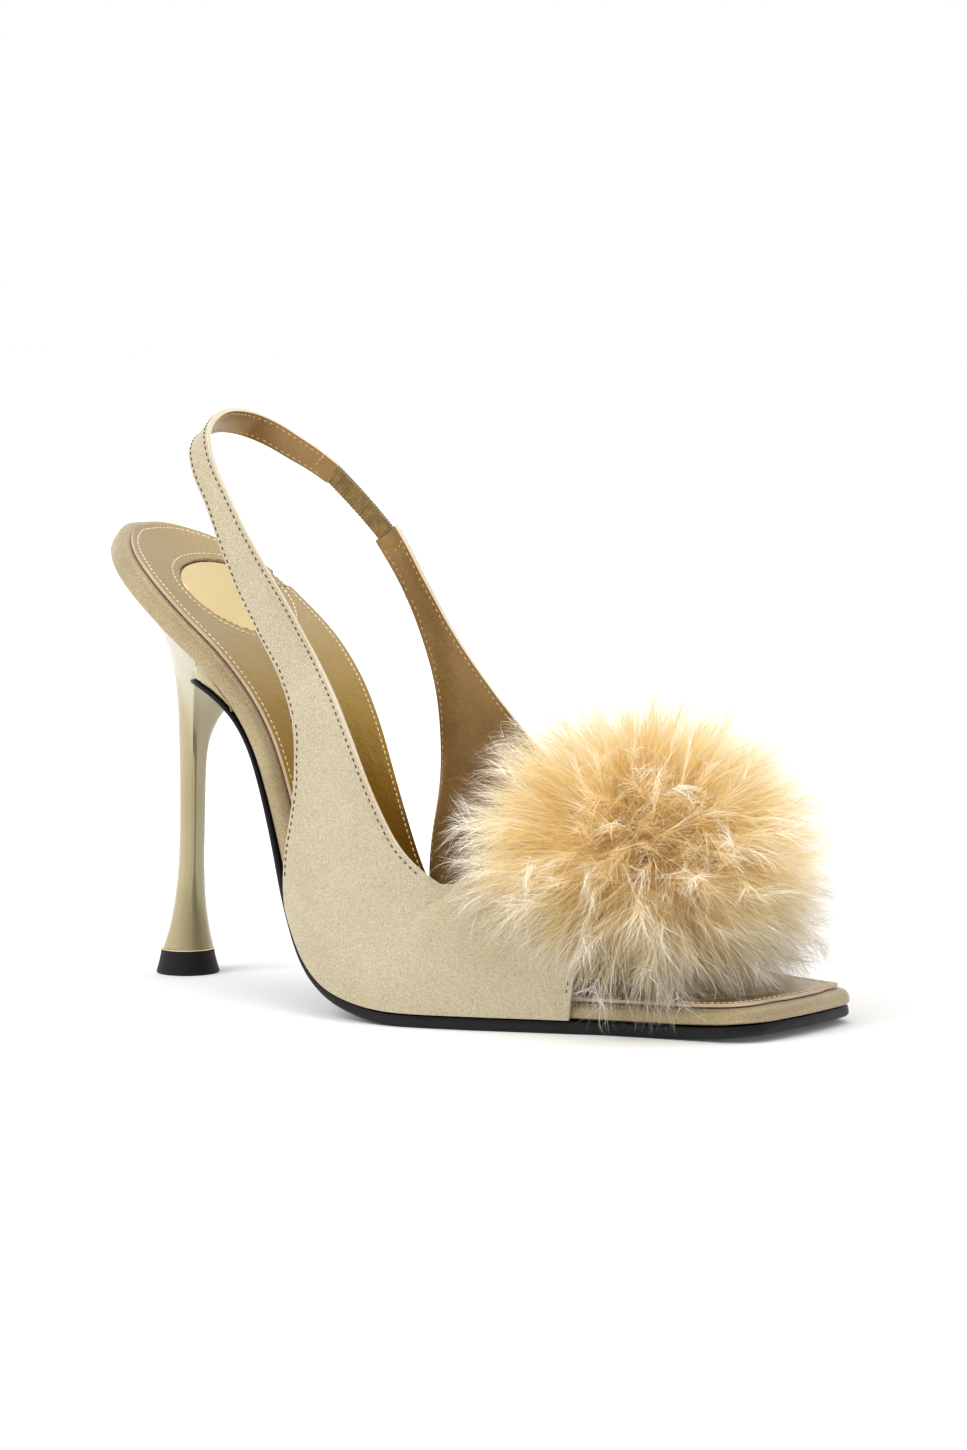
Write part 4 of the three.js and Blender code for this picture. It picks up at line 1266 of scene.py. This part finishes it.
@dataclass
class Undercarriage:
    """Outsole, heel and top lift.

    Args:
        levels: how often the faces of sole and heel are split.
        sole_bend: corners of the sole that bend by more than this stay firm.
        sole_firmness: how firm.
        heel_bend: corners of the heel that bend by more than this stay firm.
        heel_firmness: how firm.
        heel_merge: shorter edges of the heel are taken out.
        lift_segments: faces around the lift.
        lift_radius: the lift's radius at the floor.
        lift_top_radius: its radius at its top.
        lift_height: its height.
        lift_fold: radius of its lower edge.
        fold_steps: faces across that edge.
        side_steps: faces up its side.
        flare: how sudden its side flares out.
        lift_bend: corners of the lift that bend by more than this are shaded sharp.
        line_radius: radius of the gold line.
        line_height: its height.
        line_gap: its distance from the lift.
    """

    levels: int = 2
    sole_bend: float = math.radians(35)
    sole_firmness: float = 0.7
    heel_bend: float = math.radians(32)
    heel_firmness: float = 0.9
    heel_merge: float = 0.05 * MM
    lift_segments: int = 96
    lift_radius: float = 7.9 * MM
    lift_top_radius: float = 6.65 * MM
    lift_height: float = 6.0 * MM
    lift_fold: float = 0.5 * MM
    fold_steps: int = 6
    side_steps: int = 8
    flare: float = 1.35
    lift_bend: float = math.radians(35)
    line_radius: float = 6.72 * MM
    line_height: float = 0.26 * MM
    line_gap: float = 0.02 * MM

    def build(self) -> None:
        """Builds the outsole, the heel and the top lift."""
        sole = merged_copy("outsole")
        crease(sole, self.sole_bend, self.sole_firmness)
        piece_of(rounded(sole, self.levels), "outsole_leather", [SOLE_LEATHER], "outsole")
        heel = merged_copy("heel")
        bmesh.ops.dissolve_degenerate(heel, edges=heel.edges, dist=self.heel_merge)
        crease(heel, self.heel_bend, self.heel_firmness)
        piece_of(rounded(heel, self.levels), "heel_lacquer", [LACQUER], "heel")
        self._build_lift()

    def _turned(self, profile: list[tuple[float, float]]) -> Shape:
        """A round body turned about the heel's axis.

        Args:
            profile: radius and height of each step, closed on the axis.

        Returns:
            The body.
        """
        shape = bmesh.new()
        verts = [shape.verts.new((radius, 0.0, height)) for radius, height in profile]
        for first, second in zip(verts, verts[1:]):
            shape.edges.new((first, second))
        bmesh.ops.spin(
            shape,
            geom=list(shape.verts) + list(shape.edges),
            cent=(0, 0, 0),
            axis=(0, 0, 1),
            angle=2 * math.pi,
            steps=self.lift_segments,
            use_merge=True,
        )
        bmesh.ops.remove_doubles(shape, verts=shape.verts, dist=0.001 * MM)
        bmesh.ops.recalc_face_normals(shape, faces=shape.faces)
        return shape

    def _build_lift(self) -> None:
        """Builds the rubber top lift and the thin gold line above it."""
        steps = [(0.0, 0.0), (self.lift_radius - self.lift_fold, 0.0)]
        for step in range(self.fold_steps + 1):
            angle = math.pi / 2 * step / self.fold_steps
            radius = self.lift_radius - self.lift_fold * (1 - math.sin(angle))
            steps.append((radius, self.lift_fold * (1 - math.cos(angle))))
        for step in range(1, self.side_steps + 1):
            share = step / self.side_steps
            flare = (self.lift_radius - self.lift_top_radius) * (1 - share) ** self.flare
            height = self.lift_fold + (self.lift_height - self.lift_fold) * share
            steps.append((self.lift_top_radius + flare, height))
        steps.append((0.0, self.lift_height))
        piece_of(self._turned(steps), "top_lift_rubber", [RUBBER], "top_lift", sharp=self.lift_bend)
        start = self.lift_height + self.line_gap
        end = start + self.line_height
        line = self._turned([(0.0, start), (self.line_radius, start), (self.line_radius, end), (0.0, end)])
        piece_of(line, "top_lift_line", [GOLD], "top_lift", replaces=False, sharp=self.lift_bend)


@dataclass
class Elastic:
    """Short ribbed elastic between strap and inner quarter.

    Args:
        cuts: how often each edge is cut.
        ribs: the number of ribs.
        rib_height: their height.
        rib_rise: how sudden the ribs begin at both ends.
        tuck: how far each end reaches into strap and quarter.
        tuck_rise: how close to the ends that length is added.
    """

    cuts: int = 17
    ribs: float = 24.0
    rib_height: float = 0.22 * MM
    rib_rise: float = 30.0
    tuck: float = 0.75 * MM
    tuck_rise: float = 8.0

    def build(self) -> None:
        """Builds the elastic with its cross ribs, long enough to reach into strap and quarter."""
        shape = merged_copy("elastic")
        bmesh.ops.subdivide_edges(shape, edges=shape.edges, cuts=self.cuts, use_grid_fill=True)
        shape.normal_update()
        points = np.array([v.co for v in shape.verts])
        middle = points.mean(axis=0)
        run = np.linalg.svd(points - middle)[2][0]
        along = (points - middle) @ run
        first, last = along.min(), along.max()
        moves = []
        for vert, at in zip(shape.verts, along):
            share = (at - first) / (last - first)
            fade = min(share, 1 - share) * self.rib_rise
            lift = self.rib_height * math.sin(math.pi * self.ribs * share) ** 2 * min(fade, 1.0)
            longer = math.copysign(self.tuck, share - 0.5) * min(abs(share - 0.5) * self.tuck_rise, 1.0)
            moves.append(vert.normal * (lift - self.rib_height / 2) + Vector(run) * longer)
        for vert, move in zip(shape.verts, moves):
            vert.co += move
        piece_of(shape, "elastic_ribbed", [ELASTIC_CLOTH], "elastic", sharp=math.radians(70))


@dataclass
class Tuft:
    """One set of feather barbs as arrays.

    Args:
        lines: points of each barb, N by S by 3.
        widths: width at each point, N by S.
        sides: the direction of the width of each barb, N by 3.
        tints: colour at each point, N by S by 3.
    """

    lines: np.ndarray
    widths: np.ndarray
    sides: np.ndarray
    tints: np.ndarray

    def hang(self, name: str) -> None:
        """Makes one piece of the barbs.

        Args:
            name: the piece's name.
        """
        count, steps = self.widths.shape
        half = self.sides[:, None, :] * self.widths[..., None] / 2
        places = np.stack([self.lines - half, self.lines + half], axis=2).reshape(-1, 3)
        base = (np.arange(count)[:, None] * steps + np.arange(steps - 1)[None]) * 2
        corners = np.stack([base, base + 1, base + 3, base + 2], axis=-1).reshape(-1, 4)
        mesh = joined_mesh(name, places, corners)
        tint = mesh.color_attributes.new(PLUME.tint, "FLOAT_COLOR", "POINT")
        colors = np.ones((count, steps, 2, 4), dtype=np.float32)
        colors[..., :3] = self.tints[:, :, None, :]
        tint.data.foreach_set("color", colors.ravel())
        hang(mesh, name, [PLUME], "pompom", True)


@dataclass
class Pompom:
    """Ball of feathers on the vamp: plumes with curved barbs, and pale bare quills between them.

    Args:
        plumes: how many plumes.
        barbs: how many barbs each has.
        barb_steps: points on a barb.
        quills: how many quills.
        quill_steps: points on a quill.
        reach: the mean length of a plume.
        barb_length: the mean length of a barb.
        barb_width: the width of a barb at its root.
        quill_width: the width of a quill at its root.
        knee: distance from the middle from where on the tips are drawn in.
        beyond: how far beyond that they can reach.
        fall: how steeply the feathers can follow the shoe's edges down.
        painted_shade_under: how much darker the ball's underside is painted, a painted shade.
        pieces: how many pieces the plumes are made in.
        seed: the seed of the source of chance.
        grid_x: the part of the shoe along X that lies under the feathers.
        grid_y: the same along Y.
        grid_pitch: how finely its height is measured.
        clearance: the least height of a feather over it.
        stem_steps: points on a plume's stem.
        stem_start: how far from the middle the stems start.
        stem_bend: how much they bend.
        stem_lengths: shortest and longest, as shares of the mean.
        stem_droop: how far a stem's tip sinks, as a share of its length.
        barb_lengths: shortest and longest, as shares of the mean.
        barb_widths: narrowest and widest, in the same way.
        barb_angles: the least and the greatest angle with the stem, in degrees.
        barb_droop: how far a barb's tip sinks, as a share of its length.
        barb_tremble: how much a barb wavers.
        quill_lengths: shortest and longest, as shares of a plume's mean length.
        quill_widths: narrowest and widest, as shares of the width.
        quill_turns: the least and the most turns of a quill's curl.
        quill_curls: the least and the greatest radius of the curl.
        quill_droop: how far a quill's tip sinks, as a share of its length.
        root_tint: the colour in the middle of the ball.
        middle_tint: the colour halfway out.
        tip_tint: the colour at its outside.
        quill_tint: the colour of the quills.
    """

    plumes: int = 1500
    barbs: int = 66
    barb_steps: int = 4
    quills: int = 900
    quill_steps: int = 16
    reach: float = 0.0325
    barb_length: float = 0.0165
    barb_width: float = 0.10 * MM
    quill_width: float = 0.17 * MM
    knee: float = 0.039
    beyond: float = 0.0125
    fall: float = 1.2
    painted_shade_under: float = 0.45
    pieces: int = 4
    seed: int = 11
    grid_x: Span = (0.07, 0.195)
    grid_y: Span = (-0.06, 0.06)
    grid_pitch: float = 1.5 * MM
    clearance: float = 0.35 * MM
    stem_steps: int = 24
    stem_start: float = 4.0 * MM
    stem_bend: float = 0.45
    stem_lengths: Span = (0.5, 1.25)
    stem_droop: float = 0.12
    barb_lengths: Span = (0.55, 1.15)
    barb_widths: Span = (0.7, 1.2)
    barb_angles: Span = (6.0, 38.0)
    barb_droop: float = 0.18
    barb_tremble: float = 0.12 * MM
    quill_lengths: Span = (0.8, 2.0)
    quill_widths: Span = (0.6, 1.1)
    quill_turns: Span = (0.15, 0.8)
    quill_curls: Span = (1.0 * MM, 7.5 * MM)
    quill_droop: float = 0.2
    root_tint: Color = srgb(240, 194, 94)
    middle_tint: Color = srgb(247, 220, 148)
    tip_tint: Color = srgb(255, 251, 238)
    quill_tint: Color = srgb(255, 246, 220)

    def build(self) -> None:
        """Builds the feathers in a few pieces."""
        random = np.random.default_rng(self.seed)
        ground = self._ground()
        tufts = self._barbs(random, ground)
        share = len(tufts.widths) // self.pieces
        for number in range(self.pieces):
            part = slice(number * share, (number + 1) * share)
            tuft = Tuft(tufts.lines[part], tufts.widths[part], tufts.sides[part], tufts.tints[part])
            tuft.hang(f"pompom_plumes_{number + 1}")
        self._quills(random, ground).hang("pompom_quills")

    def _ground(self) -> Ground:
        """Height of the shoe's top under the feathers, over a grid in plan.

        Returns:
            The grid's places along X and along Y, and the heights.
        """
        trees = [tree_of(node) for node in ("upper", "sock_lining", "insole_board", "outsole")]
        xs = np.arange(*self.grid_x, self.grid_pitch)
        ys = np.arange(*self.grid_y, self.grid_pitch)
        heights = np.zeros((len(xs), len(ys)))
        for i, x in enumerate(xs):
            for k, y in enumerate(ys):
                start = Vector((x, y, 0.2))
                hits = [tree.ray_cast(start, DOWN)[0] for tree in trees]
                heights[i, k] = max([hit.z for hit in hits if hit] + [0.0])
        least = self.fall * (xs[1] - xs[0])
        for _ in range(8):
            for shift, side in ((1, 0), (-1, 0), (1, 1), (-1, 1)):
                heights = np.maximum(heights, np.roll(heights, shift, axis=side) - least)
        return xs, ys, heights

    def _gathered(self, lines: np.ndarray) -> np.ndarray:
        """Draws the farthest tips in, so that the ball keeps its size.

        Args:
            lines: points, N by S by 3.

        Returns:
            The points, drawn in.
        """
        middle = np.array(FEATHER_CENTRE)
        out = lines - middle
        far = np.linalg.norm(out, axis=2, keepdims=True)
        more = np.maximum(far - self.knee, 0)
        kept = np.minimum(far, self.knee) + self.beyond * (1 - np.exp(-more / self.beyond))
        return middle + out * kept / np.maximum(far, 1e-6)

    def _cleared(self, lines: np.ndarray, ground: Ground) -> np.ndarray:
        """Lifts the points that would lie in the shoe or under the floor.

        Args:
            lines: points, N by S by 3.
            ground: the grid of heights.

        Returns:
            The points, lifted.
        """
        xs, ys, heights = ground
        i = np.clip(((lines[..., 0] - xs[0]) / (xs[1] - xs[0])).round().astype(int), 0, len(xs) - 1)
        k = np.clip(((lines[..., 1] - ys[0]) / (ys[1] - ys[0])).round().astype(int), 0, len(ys) - 1)
        least = heights[i, k] + self.clearance
        lines[..., 2] = np.maximum(lines[..., 2], least)
        return lines

    def _directions(self, random: Chance, count: int) -> np.ndarray:
        """Directions that spread over the ball, fewer of them down into the vamp.

        Args:
            random: the source of chance.
            count: how many.

        Returns:
            The directions, count by 3.
        """
        ways = unit(random.normal(size=(count * 4, 3)))
        hidden = (ways[:, 2] < -0.3) & (ways[:, 0] < 0.1)
        return ways[~hidden][:count]

    def _stems(
        self, random: Chance, count: int, steps: int, length: np.ndarray, droop: float
    ) -> np.ndarray:
        """Curved lines that run out from the middle of the ball.

        Args:
            random: the source of chance.
            count: how many.
            steps: points on each.
            length: the length of each.
            droop: how far the tips sink, as a share of the length.

        Returns:
            The points, count by steps by 3.
        """
        ways = self._directions(random, count)
        bend = random.normal(size=(count, 3)) * self.stem_bend
        t = np.linspace(0, 1, steps)[None, :, None]
        out = ways[:, None] * t + bend[:, None] * t**2 * 0.5
        out[..., 2] -= droop * t[..., 0] ** 2
        start = np.array(FEATHER_CENTRE) + random.normal(size=(count, 3)) * self.stem_start
        return start[:, None] + out * length[:, None, None]

    def _barbs(self, random: Chance, ground: Ground) -> Tuft:
        """The barbs of all plumes.

        Args:
            random: the source of chance.
            ground: the grid of heights.

        Returns:
            The barbs.
        """
        steps = self.stem_steps
        length = self.reach * random.uniform(*self.stem_lengths, self.plumes)
        stems = self._stems(random, self.plumes, steps, length, self.stem_droop)
        tangents = unit(np.gradient(stems, axis=1))
        flat = unit(random.normal(size=(self.plumes, 3)))
        total = self.plumes * self.barbs
        owner = np.repeat(np.arange(self.plumes), self.barbs)
        at = random.uniform(0.12, 1.0, total) ** 0.8
        index = np.clip((at * (steps - 1)).astype(int), 0, steps - 1)
        root = stems[owner, index]
        ahead = tangents[owner, index]
        across = unit(np.cross(ahead, flat[owner]))
        across *= random.choice([-1.0, 1.0], total)[:, None]
        across += random.normal(size=(total, 3)) * 0.28
        spread = np.radians(random.uniform(*self.barb_angles, total) * (1 - 0.3 * at))[:, None]
        way = unit(ahead * np.cos(spread) + across * np.sin(spread))
        size = self.barb_length * random.uniform(*self.barb_lengths, total)
        size *= 0.75 + 0.5 * np.sin(np.pi * at)
        t = np.linspace(0, 1, self.barb_steps)
        curl = ahead * 0.35 + random.normal(size=(total, 3)) * 0.22
        line = root[:, None] + size[:, None, None] * (
            way[:, None] * t[None, :, None] + curl[:, None] * (t**2)[None, :, None] * 0.8
        )
        line[..., 2] -= size[:, None] * t**2 * self.barb_droop
        line += random.normal(size=line.shape) * self.barb_tremble * t[None, :, None]
        line = self._cleared(self._gathered(line), ground)
        widths = self.barb_width * (1.02 - t**1.4)[None] * random.uniform(*self.barb_widths, total)[:, None]
        sides = unit(np.cross(way, random.normal(size=(total, 3))))
        tone = random.normal(size=self.plumes)[owner] * 0.07 + random.normal(size=total) * 0.05
        return Tuft(line, widths, sides, self._tints(line, tone))

    def _tints(self, lines: np.ndarray, tone: np.ndarray) -> np.ndarray:
        """Colours from amber in the middle of the ball to ivory at its outside, painted darker underneath as
        a painted shade.

        Args:
            lines: points, N by S by 3.
            tone: how much lighter or darker each barb is.

        Returns:
            The colours, N by S by 3.
        """
        far = np.linalg.norm(lines - np.array(FEATHER_CENTRE), axis=2) / self.reach
        share = np.clip((far - 0.45) / 0.95 + tone[:, None], 0, 1)[..., None]
        root, middle, tip = (np.array(c) for c in (self.root_tint, self.middle_tint, self.tip_tint))
        low = root + (middle - root) * np.clip(share * 2, 0, 1)
        # The underside is painted darker: painted shade.
        under = np.clip((FEATHER_CENTRE.z - lines[..., 2]) / self.reach, 0, 1)[..., None]
        return (low + (tip - low) * np.clip(share * 2 - 1, 0, 1)) * (1 - self.painted_shade_under * under)

    def _quills(self, random: Chance, ground: Ground) -> Tuft:
        """Pale bare quills, some curly, some long.

        Args:
            random: the source of chance.
            ground: the grid of heights.

        Returns:
            The quills.
        """
        count, steps = self.quills, self.quill_steps
        length = self.reach * random.uniform(*self.quill_lengths, count)
        lines = self._stems(random, count, steps, length, self.quill_droop)
        t = np.linspace(0, 1, steps)
        turns = random.uniform(*self.quill_turns, count)[:, None] * 2 * math.pi * t[None]
        turns += random.uniform(0, 6.3, count)[:, None]
        size = (random.uniform(*self.quill_curls, count)[:, None] * t[None] ** 1.3)[..., None]
        first = unit(random.normal(size=(count, 3)))
        second = unit(np.cross(first, random.normal(size=(count, 3))))
        curl = first[:, None] * np.cos(turns)[..., None] + second[:, None] * np.sin(turns)[..., None]
        lines += size * curl
        lines = self._cleared(self._gathered(lines), ground)
        widths = self.quill_width * (1.05 - t**1.2)[None] * random.uniform(*self.quill_widths, count)[:, None]
        tint = np.array(self.quill_tint)[None, None] * random.uniform(0.85, 1.0, count)[:, None, None]
        tints = np.broadcast_to(tint, lines.shape)
        return Tuft(lines, widths, first, tints)


@dataclass(frozen=True)
class Lamp:
    """One soft lamp.

    Args:
        name: its name.
        place: where it hangs.
        size: the length of its side.
        power: its power in watts.
        mirrored: whether polished faces mirror it.
    """

    name: str
    place: Vector
    size: float
    power: float
    mirrored: bool


LAMPS = (
    Lamp("key", Vector((-0.5, -1.3, 1.3)), 1.0, 19.0, False),
    Lamp("top", Vector((0.2, 0.3, 1.5)), 1.2, 6.5, True),
    Lamp("fill", Vector((1.4, -0.5, 0.6)), 0.8, 5.5, False),
)


@dataclass
class Studio:
    """Pale floor, soft light and the camera.

    Args:
        target: the place that the camera looks at.
        azimuth: how far round from the side it stands.
        elevation: how high.
        roll: how far it is tilted.
        distance: how far away it stands.
        lens: its focal length.
        floor_size: the length of the floor's side.
        sky: the room's brightness on its bright side.
        dim_sky: its brightness on the other side.
        bright_side: where its bright side lies.
        dusk: where the one brightness turns into the other.
        glow: the floor's own brightness near the shoe and far away.
        glow_reach: the distances from and to which it grows.
    """

    target: Vector = field(default_factory=lambda: Vector((0.0905, 0.0, 0.06639)))
    azimuth: float = math.radians(34.48)
    elevation: float = math.radians(4.96)
    roll: float = math.radians(0.27)
    distance: float = 1.01915
    lens: float = 106.19
    floor_size: float = 60.0
    sky: float = 1.0
    dim_sky: float = 0.3
    bright_side: Color = (-0.8, 0.3, 0.5)
    dusk: Span = (-0.6, 0.4)
    glow: Span = (0.06, 0.6)
    glow_reach: Span = (0.25, 1.1)

    def build(self) -> None:
        """Builds the floor, the lights and the camera."""
        self._build_floor()
        self._build_lights()
        self._build_camera()

    def _build_floor(self) -> None:
        """Builds the floor."""
        shape = bmesh.new()
        bmesh.ops.create_grid(shape, x_segments=2, y_segments=2, size=self.floor_size / 2)
        mesh = bpy.data.meshes.new("floor")
        shape.to_mesh(mesh)
        shape.free()
        finish = Finish(
            "floor_paper", (0.87, 0.87, 0.87), (0.85, 0.85, 0.85), drift=0.5, roughness=0.9, specular=0.2
        )
        paper = finish.material()
        shader = paper.node_tree.nodes["Principled BSDF"]
        shader.inputs["Emission Color"].default_value = WHITE
        self._brighten_far(paper.node_tree, shader)
        mesh.materials.append(paper)
        floor = bpy.data.objects.new("floor", mesh)
        bpy.context.scene.collection.objects.link(floor)

    def _brighten_far(self, tree: Nodes, shader: Node) -> None:
        """Lets the floor grow brighter with the distance, so that it meets the room without a line.

        Args:
            tree: the floor's nodes.
            shader: the floor's shader.
        """
        place = tree.nodes.new("ShaderNodeTexCoord").outputs["Object"]
        distance = added(tree, "ShaderNodeVectorMath", {0: place}, operation="LENGTH").outputs["Value"]
        glow = ranged(tree, distance, self.glow_reach, self.glow, "SMOOTHSTEP")
        tree.links.new(glow, shader.inputs["Emission Strength"])

    def _hang_lamp(self, lamp: Lamp) -> None:
        """Hangs one lamp so that it faces the shoe.

        Args:
            lamp: the lamp.
        """
        light = bpy.data.lights.new(lamp.name, "AREA")
        light.shape = "SQUARE"
        light.size = lamp.size
        light.energy = lamp.power
        carrier = bpy.data.objects.new(lamp.name, light)
        carrier.location = lamp.place
        carrier.visible_glossy = lamp.mirrored
        carrier.rotation_mode = "QUATERNION"
        carrier.rotation_quaternion = (self.target - lamp.place).to_track_quat("-Z", "Y")
        bpy.context.scene.collection.objects.link(carrier)

    def _build_lights(self) -> None:
        """Hangs the lamps, and puts a bright room around."""
        for lamp in LAMPS:
            self._hang_lamp(lamp)
        world = bpy.data.worlds.new("room")
        world.use_nodes = True
        tree = world.node_tree
        sky = tree.nodes["Background"]
        around = tree.nodes.new("ShaderNodeTexCoord").outputs["Generated"]
        inputs = {0: around, 1: self.bright_side}
        towards = added(tree, "ShaderNodeVectorMath", inputs, operation="DOT_PRODUCT").outputs["Value"]
        strength = ranged(tree, towards, self.dusk, (self.dim_sky, self.sky), "SMOOTHSTEP")
        tree.links.new(strength, sky.inputs["Strength"])
        sky.inputs["Color"].default_value = WHITE
        bpy.context.scene.world = world

    def _build_camera(self) -> None:
        """Sets the camera at the picture's angle."""
        a, e = self.azimuth, self.elevation
        back = Vector((math.sin(a) * math.cos(e), -math.cos(a) * math.cos(e), math.sin(e)))
        flat_right = Vector((math.cos(a), math.sin(a), 0.0))
        flat_up = back.cross(flat_right)
        right = flat_right * math.cos(self.roll) - flat_up * math.sin(self.roll)
        up = flat_right * math.sin(self.roll) + flat_up * math.cos(self.roll)
        data = bpy.data.cameras.new("camera")
        data.sensor_width = 36.0
        data.lens = self.lens
        data.clip_start = 0.05
        data.clip_end = 100.0
        camera = bpy.data.objects.new("camera", data)
        turn = Matrix((right, up, back)).transposed().to_4x4()
        camera.matrix_world = Matrix.Translation(self.target + back * self.distance) @ turn
        bpy.context.scene.collection.objects.link(camera)
        bpy.context.scene.camera = camera
        bpy.context.scene.view_settings.view_transform = "Standard"


def main() -> None:
    """Builds the shoe piece by piece, then the studio."""
    logging.basicConfig(level=logging.INFO, format="%(message)s")
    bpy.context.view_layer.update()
    for part in (Footbed(), Upper(), Undercarriage(), Elastic(), Pompom(), Studio()):
        part.build()
        LOG.info("%s done", type(part).__name__)


if __name__ == "__main__":
    main()
